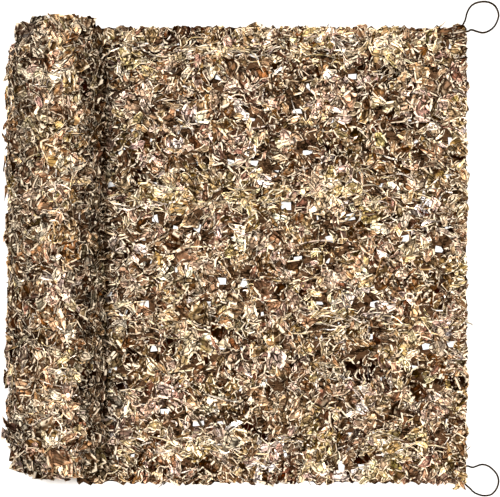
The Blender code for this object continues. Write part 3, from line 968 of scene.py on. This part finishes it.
def edge_flaps():
    """Flaps along the three free edges, and one more row that lies back from the cut end."""
    draw = np.random.default_rng(EDGE_FLAPS["seed"])
    x = np.arange(*EDGE_FLAP_XS, EDGE_FLAP_SPACING)
    low, high = CLOTH_FOOT[1] + EDGE_FLAP_FROM_CORNER, CLOTH_CORNER[1] - EDGE_FLAP_FROM_CORNER
    y = np.arange(low, high, EDGE_FLAP_SPACING)
    cut_end = np.column_stack((np.full(len(y), CLOTH_CORNER[0]), y))
    rows = (
        # points along the edge, heading, and how far a flap's tip, or its root, lies past it
        (np.column_stack((x, np.full(len(x), CLOTH_FOOT[1]))), -90, EDGE_FLAP_PAST),
        (np.column_stack((x, np.full(len(x), CLOTH_CORNER[1]))), 90, EDGE_FLAP_PAST),
        (cut_end, 0, (-0.002, 0.007)),
        (cut_end, 180, (-0.008, -0.001)),
    )
    edge = np.concatenate([row[0] for row in rows])
    count = len(edge)
    batch = leaf_batch(count, draw, EDGE_FLAPS)
    turn = np.radians(np.concatenate([np.full(len(row[0]), row[1]) for row in rows]))
    past = np.concatenate([draw.uniform(*row[2], len(row[0])) for row in rows])
    lean = np.radians(draw.normal(0, EDGE_FLAP_TURN, count))
    lean = lean.clip(-EDGE_FLAP_LIMIT, EDGE_FLAP_LIMIT)
    batch["heading"] = turn + lean
    lies_back = turn > math.radians(135)
    outward = np.where(lies_back, 0, turn)
    past = past - np.where(lies_back, 0, batch["length"] * np.cos(lean))
    plan = edge + np.column_stack((np.cos(outward), np.sin(outward))) * past[:, None]
    places, _, found = on_laid(plan)
    places[:, 2] += draw.uniform(*EDGE_FLAPS["lift"], count)
    batch |= {"root": places, "normal": np.tile(UP, (count, 1))}
    batch["dye"] = draw_dyes(plan, draw, EDGE_FLAPS["light"], EDGE_LEAN)
    return plant("edge_flaps", kept(batch, found), ALONG_X, draw)


laid_pieces.append(edge_flaps())

# %% [markdown]
# ## Straws
# Long thin strips of cloth, cut as blades of grass, lie over the leaves in loose curves. One strand
# is modelled, and each copy follows its own wandering line: its rings are set along that line.

# %% Strands along lines
STRAND_HALF_THICKNESS = 0.0006
STRAND_PRINT = 0.09  # the length of print along a strand
STRAND_CELL = 8  # how many times as long as wide a strand's cell of the map is
WAVE_TURN, WAVE_COUNT = 18, (0.8, 2.0)


def wandering(count, draw, length, sweep, base):
    """Count lines in the plane round their own middles, one point for each ring and both ends."""
    t = np.linspace(0, 1, STRAND_RINGS + 2)
    bend = np.radians(draw.uniform(-sweep, sweep, count))[:, None] * (t - 0.5)
    wave = np.radians(draw.uniform(-WAVE_TURN, WAVE_TURN, count))[:, None]
    rounds = t * draw.uniform(*WAVE_COUNT, (count, 1)) + draw.random((count, 1))
    heading = base[:, None] + bend + wave * np.sin(2 * math.pi * rounds)
    step = (draw.uniform(*length, count) / (STRAND_RINGS + 1))[:, None, None]
    line = np.cumsum(np.stack((np.cos(heading), np.sin(heading)), axis=-1) * step, axis=1)
    return line - line.mean(axis=1, keepdims=True)


def lay_strands(name, lines, normals, half_width, dyes, draw):
    """One mesh of strands along their lines (copies x rings x 3)."""
    count = len(lines)
    ahead = unit(np.gradient(lines, axis=1))
    flank = unit(np.cross(normals, ahead))
    crown = np.cross(ahead, flank)
    ring, width = strand["ring"], strand["side"] * half_width[:, None]
    points = lines[:, ring] + flank[:, ring] * width[:, :, None]
    points = points + crown[:, ring] * (strand["top"] * STRAND_HALF_THICKNESS)[None, :, None]
    along = np.broadcast_to(strand["points"][:, 0] * STRAND_PRINT, width.shape)
    flat = np.stack((along, width), axis=-1) + draw.uniform(0, PRINT_SPAN, (count, 1, 2))
    wide = math.ceil(math.sqrt(count / STRAND_CELL))
    grid = (wide, math.ceil(count / wide))
    numbers = np.arange(count)
    return join_copies(name, [copies(strand, points, dyes, flat, numbers, numbers, grid)])


# %% Straws of the laid end
# sweep is how far a strand may turn, in_bands the share in the bands of straw, and spread how far
# the middles of strands turn from X, in radians
LAID_STRANDS = table(
    "seed count length sweep half_width lift in_bands spread mix",
    laid_straws=(
        51, 320, (0.030, 0.100), 80, (0.0009, 0.0018), (0.008, 0.015), 0.0, 0.9,
        {"straw": 0.35, "cream": 0.25, "fawn": 0.10, "bark": 0.30},
    ),
    laid_twigs=(
        52, 330, (0.070, 0.190), 120, (0.0014, 0.0027), (0.011, 0.017), 0.7, 0.25,
        {"straw": 0.80, "cream": 0.20},
    ),
    laid_curls=(
        53, 400, (0.024, 0.060), 190, (0.0016, 0.0030), (0.011, 0.017), 0.0, 0.9,
        {"cream": 0.30, "straw": 0.50, "fawn": 0.20},
    ),
)
OVER_FLOOR = 0.004  # the height taken where a strand crosses a gap
STRAND_COVERED = 0.7  # the share of a strand that has to lie over cloth
LAID_LIFT_SPREAD = 0.0010


def straw_dyes(mix, count, draw):
    """Linear colours for strands, in the families of the mix."""
    kinds = list(mix)
    kind_of = draw.choice(len(kinds), size=count, p=list(mix.values()))
    colours = np.zeros((count, 3))
    for number, kind in enumerate(kinds):
        chosen = np.flatnonzero(kind_of == number)
        colours[chosen] = dye_of(kind, draw, np.zeros(len(chosen)))
    return colours


def dress_strands(name, kind, places, normals, keep, draw, shade=1):
    """Draws dyes and widths for strands of this kind, and makes a piece of those to keep."""
    tones = straw_dyes(kind["mix"], len(places), draw) * shade
    half_width = draw.uniform(*kind["half_width"], len(places))
    return lay_strands(name, places[keep], normals[keep], half_width[keep], tones[keep], draw)


def laid_strands(name):
    """Strands on the laid end: a share of them in the bands of straw, the rest anywhere."""
    kind = LAID_STRANDS[name]
    count = kind["count"]
    draw = np.random.default_rng(kind["seed"])
    middles = draw.uniform((LAID_LEFT, LAID_BOTTOM), (LAID_RIGHT, LAID_TOP), (count, 2))
    banded = draw.choice(STRAW_BANDS, count) + draw.normal(0, STRAW_BAND_HALF / 2, count)
    middles[:, 1] = np.where(draw.random(count) < kind["in_bands"], banded, middles[:, 1])
    base = draw.normal(0, kind["spread"], count)
    line = wandering(count, draw, kind["length"], kind["sweep"], base)
    lines = middles[:, None, :] + line
    places, _, found = on_laid(lines.reshape(-1, 2))
    found = found.reshape(lines.shape[:2])
    height = np.where(found, places[:, 2].reshape(found.shape), OVER_FLOOR)
    lift = draw.uniform(*kind["lift"], (count, 1)) + draw.normal(0, LAID_LIFT_SPREAD, found.shape)
    lines = np.concatenate((lines, (height + lift)[:, :, None]), axis=2)
    keep = found.mean(axis=1) > STRAND_COVERED
    return dress_strands(name, kind, lines, np.broadcast_to(UP, lines.shape), keep, draw)


laid_pieces += [laid_strands(name) for name in LAID_STRANDS]

# %% Straws of the roll
ROLL_STRANDS = table(
    "seed count length sweep half_width lift mix",
    roll_straws=(
        61, 480, (0.050, 0.160), 150, (0.0009, 0.0018), (0.004, 0.008),
        {"straw": 0.35, "cream": 0.20, "fawn": 0.15, "bark": 0.30},
    ),
    roll_curls=(
        62, 380, (0.040, 0.130), 170, (0.0012, 0.0023), (0.005, 0.010),
        {"cream": 0.40, "straw": 0.35, "fawn": 0.20, "rust": 0.05},
    ),
)
ROLL_LIFT_SPREAD = 0.0008
ROLL_STRAND_ANGLES = (math.radians(-40), math.radians(220))
FROM_END = 0.03


def roll_strands(name):
    """Strands round the roll's barrel."""
    kind = ROLL_STRANDS[name]
    count = kind["count"]
    draw = np.random.default_rng(kind["seed"])
    low = (ROLL_STRAND_ANGLES[0] * ROLL_RADIUS, ROLL_Y - ROLL_LENGTH / 2 + FROM_END)
    high = (ROLL_STRAND_ANGLES[1] * ROLL_RADIUS, ROLL_Y + ROLL_LENGTH / 2 - FROM_END)
    middles = draw.uniform(low, high, (count, 2))
    base = draw.uniform(0, math.pi, count)
    lines = middles[:, None, :] + wandering(count, draw, kind["length"], kind["sweep"], base)
    angles, ys = lines.reshape(-1, 2).T
    places, _, found = on_barrel(angles / ROLL_RADIUS, ys)
    outward = unit(places - axis_at(ys))
    shape = lines.shape[:2]
    lift = draw.uniform(*kind["lift"], (count, 1)) + draw.normal(0, ROLL_LIFT_SPREAD, shape)
    places = (places + outward * lift.reshape(-1, 1)).reshape(*shape, 3)
    keep = found.reshape(shape).all(axis=1)
    normals = outward.reshape(places.shape)
    # the same painted shade and light by the slope as on the roll's leaves
    shade = painted_slope_shade(normals[:, STRAND_RINGS // 2])
    return dress_strands(name, kind, places, normals, keep, draw, shade)


roll_pieces += [roll_strands(name) for name in ROLL_STRANDS]

# %% [markdown]
# ## Turns at the roll's ends
# Seen from the side, the wound cloth shows its edge as a spiral. Each end gets that edge as one
# long strip: an edge is drawn out step by step along the spiral, standing on the end's skin, and
# the strip is then given the thickness of cloth. Its outer rim is ragged, as cut leaves leave it.

# %% Spiral strips
TURN_PITCH = 0.0147
TURN_STEPS = 30  # a turn
OUTER_SHARE, INNER_SHARE = 0.93, 0.10
TURNS_SINK = 0.020  # how far the middle of the spiral lies below the roll's axis
SHIFT_SHARES = (0.52, 0.62, 0.75, 0.91, 1.0)  # of the radius, from the middle outwards
TURN_SHIFTS = (0.040, 0.037, 0.026, 0.009, 0.0)  # how far the turns there lie towards +X
LOWEST_TURN = 0.004
STRIP_ROOT = 0.004  # how far a strip starts inside the skin
STRIP_RAGGED = (0.004, 0.013)


def spiral_strip(way, draw):
    """One end's strip as a new object: an edge extruded along the spiral."""
    turns = ROLL_RADIUS * (OUTER_SHARE - INNER_SHARE) / TURN_PITCH
    angle = np.arange(int(turns * TURN_STEPS)) * 2 * math.pi / TURN_STEPS
    share = OUTER_SHARE - angle / (2 * math.pi) * TURN_PITCH / ROLL_RADIUS
    shift = np.interp(share, SHIFT_SHARES, TURN_SHIFTS)
    x = ROLL_X + shift + ROLL_RADIUS * share * np.cos(angle)
    z = AXIS_Z - TURNS_SINK * (1 - share) + ROLL_RADIUS * share * np.sin(angle)
    z = np.maximum(z, LOWEST_TURN)
    skin, _, found = on_end(np.column_stack((x, z)), way)
    x, z, y = x[found], z[found], skin[found][:, 1]
    line = np.column_stack((x, y - way * STRIP_ROOT, z))
    tall = STRIP_ROOT + draw.uniform(*STRIP_RAGGED, len(x))
    bpy.ops.object.select_all(action="DESELECT")
    bpy.ops.mesh.primitive_plane_add(size=1)
    strip = bpy.context.object
    bpy.ops.object.mode_set(mode="EDIT")
    pick("verts", lambda vert: vert.co.x > 0)
    bpy.ops.mesh.delete(type="VERT")
    mesh = bmesh.from_edit_mesh(strip.data)
    ends = sorted(mesh.verts, key=lambda vert: vert.co.y)
    for vert, rise in zip(ends, (0.0, tall[0])):
        vert.co = Vector(line[0]) + Vector((0, way * rise, 0))
        vert.select_set(True)
    mesh.select_flush_mode()
    bmesh.update_edit_mesh(strip.data)
    bpy.ops.mesh.select_mode(type="EDGE")
    bpy.ops.mesh.select_all(action="SELECT")
    for step in np.diff(line, axis=0):
        bpy.ops.mesh.extrude_region_move(TRANSFORM_OT_translate={"value": tuple(step)})
    mesh = bmesh.from_edit_mesh(strip.data)
    mesh.verts.ensure_lookup_table()
    for number, rise in enumerate(tall):
        outer = max(mesh.verts[2 * number : 2 * number + 2], key=lambda vert: way * vert.co.y)
        outer.co.y = line[number, 1] + way * rise
    bmesh.update_edit_mesh(strip.data)
    bpy.ops.object.mode_set(mode="OBJECT")
    return strip, line


strips, spirals = [], {}
for way in (-1, 1):
    strip, spirals[way] = spiral_strip(way, np.random.default_rng(60 + way))
    print("strip", way, len(strip.data.vertices), "points for", len(spirals[way]), "steps")
    strips.append(strip)
bpy.ops.object.select_all(action="DESELECT")
for strip in strips:
    strip.select_set(True)
bpy.context.view_layer.objects.active = strips[0]
bpy.ops.object.join()
roll_turns = bpy.context.object
roll_turns.name = "roll_end_turns"
thicken(roll_turns, 0.0)

# %% [markdown]
# The net's long edges are wound up here, so their flaps stand out of every turn.

# %% Flaps of the turns
TURN_FLAPS = {
    "seed": 47, "length": (0.030, 0.050), "breadth": (0.8, 1.3), "tilt": (-7, 7), "curl": (-20, 20),
    "light": (-50, 40),
}
TURN_FLAP_STEP = 0.012
TURN_FLAP_CALM = 0.35  # they are held between the turns
TURN_FLAP_OUT = (0.006, 0.018)  # how far a flap stands out of the skin
TURN_FLAP_LEAN = 0.45
TURNS_CENTRE = (ROLL_X + 0.030, 0, AXIS_Z - 0.012)


def turn_flaps():
    draw = np.random.default_rng(TURN_FLAPS["seed"])
    along = {way: evenly(line, TURN_FLAP_STEP)[0] for way, line in spirals.items()}
    places = np.concatenate(list(along.values()))
    way = np.concatenate([np.full(len(line), float(way)) for way, line in along.items()])
    batch = leaf_batch(len(places), draw, TURN_FLAPS)
    for key in ("bank", "twist", "cup"):
        batch[key] *= TURN_FLAP_CALM
    lean = draw.normal(0, TURN_FLAP_LEAN, len(places))
    batch["heading"] = np.where(way > 0, 0, math.pi) + lean
    batch["normal"] = unit((places - TURNS_CENTRE) * (1, 0, 1))
    standing = draw.uniform(*TURN_FLAP_OUT, len(places))
    places[:, 1] += way * (STRIP_ROOT + standing - batch["length"] * np.cos(lean))
    batch["root"] = places
    batch["dye"] = draw_dyes(places, draw, TURN_FLAPS["light"], ROLL_LEAN, ROLL_PATCH)
    return plant("turn_flaps", batch, ALONG_Y, draw)


roll_pieces.append(turn_flaps())

# %% [markdown]
# ## Finishes
# One small class lets shader sums be written as plain expressions, and another makes a material and
# its nodes.

# %% Shader helpers
class Wire:
    """A node's output. Sums on it add Math nodes."""

    def __init__(self, finish, socket):
        self.finish, self.socket = finish, socket

    def maths(self, operation, *values):
        return self.finish.node("ShaderNodeMath", {"operation": operation}, dict(enumerate(values)))

    def __add__(self, other):
        return self.maths("ADD", self, other)

    __radd__ = __add__

    def __sub__(self, other):
        return self.maths("SUBTRACT", self, other)

    def __rsub__(self, other):
        return self.maths("SUBTRACT", other, self)

    def __mul__(self, other):
        return self.maths("MULTIPLY", self, other)

    __rmul__ = __mul__

    def __abs__(self):
        return self.maths("ABSOLUTE", self)

    def between(self, low, high):
        """0 at low, 1 at high, and held there beyond."""
        settings = {"interpolation_type": "SMOOTHSTEP"}
        sockets = {"Value": self, "From Min": low, "From Max": high}
        return self.finish.node("ShaderNodeMapRange", settings, sockets)

    def lines(self, low, high):
        """1 along the lines where this noise crosses its middle, and 0 away from them."""
        return 1 - abs(self * 2 - 1).between(low, high)

    def tones(self, contrast):
        """Numbers about 1, where contrast is the step from the lowest to the highest."""
        return self * contrast + (1 - contrast / 2)

    def mixes(self, first, second):
        """The colour that is first where this is 0 and second where it is 1."""
        sockets = {0: self, 6: first, 7: second}
        return self.finish.node("ShaderNodeMix", {"data_type": "RGBA"}, sockets, output=2)

    def channel(self, number):
        """The red, green or blue of a colour, by its number."""
        return self.finish.node("ShaderNodeSeparateColor", sockets={"Color": self}, output=number)

    def vector_maths(self, operation, sockets):
        sockets = {0: self, **sockets}
        return self.finish.node("ShaderNodeVectorMath", {"operation": operation}, sockets)


class Finish:
    """A material, and the nodes in it."""

    def __init__(self, name, roughness, gloss=0.0):
        self.material = bpy.data.materials.new(name)
        self.material.use_nodes = True
        self.tree = self.material.node_tree
        self.shader = self.tree.nodes["Principled BSDF"]
        self.put(self.shader.inputs["Roughness"], roughness)
        self.put(self.shader.inputs["Specular IOR Level"], gloss)

    def put(self, socket, value):
        if isinstance(value, Wire):
            self.tree.links.new(value.socket, socket)
        else:
            socket.default_value = value

    def node(self, kind, settings=(), sockets=(), output=0):
        """Adds a node: its settings first, then the values or links of its sockets."""
        made = self.tree.nodes.new(kind)
        for key, value in dict(settings).items():
            setattr(made, key, value)
        for key, value in dict(sockets).items():
            self.put(made.inputs[key], value)
        return Wire(self, made.outputs[output])

    def attribute(self, name, output="Fac"):
        return self.node("ShaderNodeAttribute", {"attribute_name": name}, output=output)

    def object_place(self):
        return self.node("ShaderNodeTexCoord", output="Object")

    def stretched(self, place, stretch):
        return self.node("ShaderNodeMapping", sockets={"Vector": place, "Scale": stretch})

    def shaken(self, place, scale, amount):
        """The place, moved by a little noise, so that what lies on it gets uneven edges."""
        return place.vector_maths("ADD", {1: self.noise(place, scale, detail=1.0) * amount})

    def noise(self, place, scale, stretch=(1, 1, 1), detail=2.0, distortion=0.0):
        """A noise from 0 to 1, where stretch scales the place along each axis."""
        sockets = {"Scale": scale, "Detail": detail, "Distortion": distortion}
        sockets["Vector"] = self.stretched(place, stretch)
        return self.node("ShaderNodeTexNoise", sockets=sockets)

    def cells(self, place, scale, feature="F1", output="Color"):
        """A different colour in each of many uneven cells, or how far off a cell's edge is."""
        sockets = {"Vector": place, "Scale": scale}
        return self.node("ShaderNodeTexVoronoi", {"feature": feature}, sockets, output)

    def wears(self, colour, roughness, relief, strength, depth):
        """Joins a colour, a roughness and a bump to the shader, and returns the material."""
        relief = {"Height": relief, "Strength": strength, "Distance": depth}
        normal = self.node("ShaderNodeBump", sockets=relief)
        for name, value in (("Base Color", colour), ("Roughness", roughness), ("Normal", normal)):
            self.put(self.shader.inputs[name], value)
        return self.material


# %% [markdown]
# The print on a leaf: blades of dead grass as light and dark streaks over the leaf's own dye,
# scraps of other leaves with dark seams between them, which are partly print and partly painted
# shade, a few fine light and dark lines, painted shade towards the root and just inside the rim,
# and a paler cut edge, where the cloth's undyed core shows, which is partly a painted highlight.
# Close up, a plain weave gives the cloth its grain.

# %% Leaf finish
WEAVE_SCALE, WEAVE_DEPTH = 900.0, 0.0006
BLADES = {"scale": 30.0, "stretch": (0.8, 3.0, 1), "detail": 3.0, "distortion": 0.5}
LIGHT_LINES = {"scale": 18.0, "detail": 1.0, "distortion": 1.2}
DARK_LINES = {"scale": 20.0, "stretch": (1.2, 0.9, 3), "detail": 1.0, "distortion": 1.0}
LIGHT_LINE = (0.60, 0.52, 0.39, 1.0)
PATCH_MAUVE = (0.20, 0.125, 0.085, 1.0)
# dark brown of the printed lines, also used for painted shade in the seams and inside the rims
DARK_PRINT_AND_SHADE = (0.016, 0.008, 0.003, 1.0)
# the pale rim: the cloth's undyed edge, and partly a painted highlight on the curl
EDGE_CREAM_AND_HIGHLIGHT = (0.74, 0.66, 0.54, 1.0)
CONTRAST, GAIN = 1.36, 2.69
PATCH_SCALE, SCRAP_SCALE, SCRAP_STRETCH = 46.0, 58.0, (0.75, 1.4, 1.0)
BLADE_TONE, PATCH_TONE, SCRAP_TONE = 0.60, 0.50, 1.10
ROOT_PAINTED_SHADE, ROOT_SHADE_REACH = 0.30, (0.0, 0.45)  # painted shade: what is left of the dye at a leaf's root
# where each thing starts and is full, as the value of its noise or colour, or of the leaf's rim
BLADE_EDGES, MAUVE_EDGES, FRAY_EDGES = (0.42, 0.58), (0.62, 0.68), (0.48, 0.56)
LIGHT_EDGES, DARK_EDGES, SEAM_EDGES = (0.02, 0.08), (0.03, 0.10), (0.045, 0.14)
SEAMED_SCRAPS = (0.36, 0.46)  # by their green
# where the painted shadow inside the rim starts and ends, and where the pale rim starts
CURL_SHADE_START, CURL_SHADE_END, RIM_EDGES = (0.30, 0.50), (0.56, 0.70), (0.60, 0.80)


def leaf_finish(name, rim_pale_and_highlight):
    finish = Finish(name, 0.75)
    place = finish.attribute("print_place", "Vector")
    dye = finish.attribute("dye", "Color")
    blades = finish.noise(place, **BLADES)
    moved = finish.shaken(place, scale=40.0, amount=0.012)
    patch = finish.cells(moved, PATCH_SCALE)
    scrap_place = finish.stretched(moved, SCRAP_STRETCH)
    scrap = finish.cells(scrap_place, SCRAP_SCALE)
    to_seam = finish.cells(scrap_place, SCRAP_SCALE, "DISTANCE_TO_EDGE", "Distance")
    # dark seams between the scraps: part of the print, and a painted shade as between overlapping
    # leaves
    seam_and_shade = (1 - to_seam.between(*SEAM_EDGES)) * scrap.channel(1).between(*SEAMED_SCRAPS)
    tone = blades.between(*BLADE_EDGES).tones(BLADE_TONE) * patch.channel(0).tones(PATCH_TONE)
    tone = tone * scrap.channel(0).tones(SCRAP_TONE)
    # painted shade towards each leaf's root, where it comes out from under the others
    reach = finish.attribute("reach").between(*ROOT_SHADE_REACH) * (1 - ROOT_PAINTED_SHADE) + ROOT_PAINTED_SHADE
    shade = dye.vector_maths("SCALE", {"Scale": tone * reach})
    rim = finish.attribute("edge")
    frayed = finish.noise(place, scale=55.0).between(*FRAY_EDGES)
    layers = (
        # where a colour lies, how strong it is there, and the colour
        (patch.channel(1).between(*MAUVE_EDGES), 0.30, PATCH_MAUVE),
        (finish.noise(place, **LIGHT_LINES).lines(*LIGHT_EDGES), 0.25, LIGHT_LINE),
        (finish.noise(place, **DARK_LINES).lines(*DARK_EDGES), 0.50, DARK_PRINT_AND_SHADE),
        # the seams, partly print and partly painted shade
        (seam_and_shade, 0.92, DARK_PRINT_AND_SHADE),
        # a painted shadow in a band just inside the rim, as under a curled edge
        (rim.between(*CURL_SHADE_START) * (1 - rim.between(*CURL_SHADE_END)), 0.60, DARK_PRINT_AND_SHADE),
        # the pale cut edge, partly the undyed core and partly a painted highlight
        (rim.between(*RIM_EDGES) * frayed, rim_pale_and_highlight, EDGE_CREAM_AND_HIGHLIGHT),
    )
    for where, strength, colour in layers:
        shade = (where * strength).mixes(shade, colour)
    deep = finish.node("ShaderNodeGamma", sockets={"Color": shade, "Gamma": CONTRAST})
    colour = deep.vector_maths("SCALE", {"Scale": GAIN})
    weave = finish.noise(place, WEAVE_SCALE, detail=1.0)
    return finish.wears(colour, weave * 0.3 + 0.6, weave, strength=0.25, depth=WEAVE_DEPTH)


laid_finish = leaf_finish("laid_print", rim_pale_and_highlight=0.65)
roll_finish = leaf_finish("roll_print", rim_pale_and_highlight=0.5)
corner_finish = leaf_finish("corner_print", rim_pale_and_highlight=0.45)
for piece in laid_pieces:
    piece.data.materials.append(corner_finish if piece.name == "corner_flaps" else laid_finish)
for piece in roll_pieces:
    piece.data.materials.append(roll_finish)

# %% [markdown]
# The ground cloth carries the same print, painted darker for the shade it lies in under the leaves.

# %% Ground finish
GROUND_BLADES = {"scale": 90.0, "stretch": (1, 2.0, 1.4), "detail": 3.0, "distortion": 0.8}
GROUND_BLADE_EDGES, EARTH_EDGES = (0.52, 0.66), (0.2, 0.9)


def ground_finish(name, dark, middle, pale):
    finish = Finish(name, 0.85)
    place = finish.object_place()
    scrap = finish.cells(finish.shaken(place, scale=30.0, amount=0.02), scale=60.0).channel(0)
    earth = scrap.between(*EARTH_EDGES).mixes((*dark, 1), (*middle, 1))
    blades = finish.noise(place, **GROUND_BLADES)
    colour = blades.between(*GROUND_BLADE_EDGES).mixes(earth, (*pale, 1))
    weave = finish.noise(place, WEAVE_SCALE, detail=1.0)
    return finish.wears(colour, weave * 0.2 + 0.75, weave, strength=0.3, depth=WEAVE_DEPTH)


# the print in painted shade, for the cloth under the leaves
shaded_ground_cloth = ground_finish(
    "ground_print_in_shade", (0.010, 0.005, 0.002), (0.085, 0.042, 0.020), (0.170, 0.095, 0.050)
)
turn_cloth = ground_finish(
    "turn_print", (0.030, 0.016, 0.008), (0.180, 0.110, 0.062), (0.400, 0.300, 0.190)
)
grounds = {laid_ground: shaded_ground_cloth, roll_ground: shaded_ground_cloth, roll_turns: turn_cloth}
for piece, cloth in grounds.items():
    piece.data.materials.clear()
    piece.data.materials.append(cloth)

# %% [markdown]
# The cord is a dull olive brown, with painted shade where its strands meet, and a fine fibre.

# %% Cord finish
GROOVE_SHADE, DARK_OLIVE = (0.005, 0.003, 0.001, 1), (0.012, 0.007, 0.002, 1)
WORN_OLIVE = (0.036, 0.021, 0.007, 1)
STRIPES = 5000.0  # radians for each metre of cord
FIBRE_SCALE, FIBRE_DEPTH, WORN_EDGES = 900.0, 0.0004, (0.35, 0.65)


def cord_finish():
    finish = Finish("cord_fibre", 0.6, gloss=0.04)
    place = finish.object_place()
    lobe = finish.attribute("cord_lobe") * 0.5 + 0.5
    worn = finish.noise(place, scale=22.0, detail=1.0).between(*WORN_EDGES)
    olive = worn.mixes(DARK_OLIVE, WORN_OLIVE)
    # painted shade in the grooves where the strands meet
    colour = lobe.between(0.0, 0.8).mixes(GROOVE_SHADE, olive)
    fibre = finish.noise(place, FIBRE_SCALE)
    run = finish.attribute("cord_run") * STRIPES
    relief = fibre + run.maths("SINE", run) * 0.3
    return finish.wears(colour, fibre * 0.3 + 0.5, relief, strength=0.4, depth=FIBRE_DEPTH)


cord_material = cord_finish()
for cord in cords.values():
    cord.data.materials.append(cord_material)

# %% [markdown]
# ## What each piece rides on, and what it replaces
# All the cloth rides on the one body. The ground cloths replace the CAD solids, and the rest is
# part of the same net.

# %% Ride and replace
for piece in (laid_ground, roll_ground, roll_turns, *laid_pieces, *roll_pieces):
    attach(piece, "root")
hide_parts("net_sheet")
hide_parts("net_roll")

# %% [markdown]
# ## Stage
# A plain pale floor, and light from almost straight above: a sun for the crisp shade between the
# leaves, and a warm sky that fills it.

# %% Floor and light
FLOOR_SIZE, FLOOR_DROP = 14, 0.0008
FLOOR_GREY, FLOOR_WHITE = (0.90, 0.90, 0.90, 1), (0.92, 0.92, 0.92, 1)
SUN_POWER, SUN_COLOUR, SUN_ANGLE = 3.9, (0.96, 0.98, 1.0), math.radians(12)
SUN_WAY = (0.05, -0.16, -1.0)
SKY_POWER, SKY_COLOUR = 0.46, (1.0, 0.80, 0.58, 1.0)

bpy.ops.object.select_all(action="DESELECT")
bpy.ops.mesh.primitive_plane_add(size=FLOOR_SIZE, location=(0, 0, -FLOOR_DROP))
floor = bpy.context.object
floor.name = "floor"
paper = Finish("floor_paper", 0.9)
grain = paper.noise(paper.object_place(), 3.0)
paper.put(paper.shader.inputs["Base Color"], grain.mixes(FLOOR_GREY, FLOOR_WHITE))
floor.data.materials.append(paper.material)

bpy.ops.object.light_add(type="SUN", location=(-2, 1, 4))
sun = bpy.context.object
sun.name = "key_light"
sun.data.energy = SUN_POWER
sun.data.color = SUN_COLOUR
sun.data.angle = SUN_ANGLE
sun.rotation_euler = Vector(SUN_WAY).to_track_quat("-Z", "Y").to_euler()

world = bpy.data.worlds.new("studio")
world.use_nodes = True
sky = world.node_tree.nodes["Background"]
sky.inputs["Color"].default_value = SKY_COLOUR
sky.inputs["Strength"].default_value = SKY_POWER
bpy.context.scene.world = world
bpy.context.scene.view_settings.view_transform = "Standard"
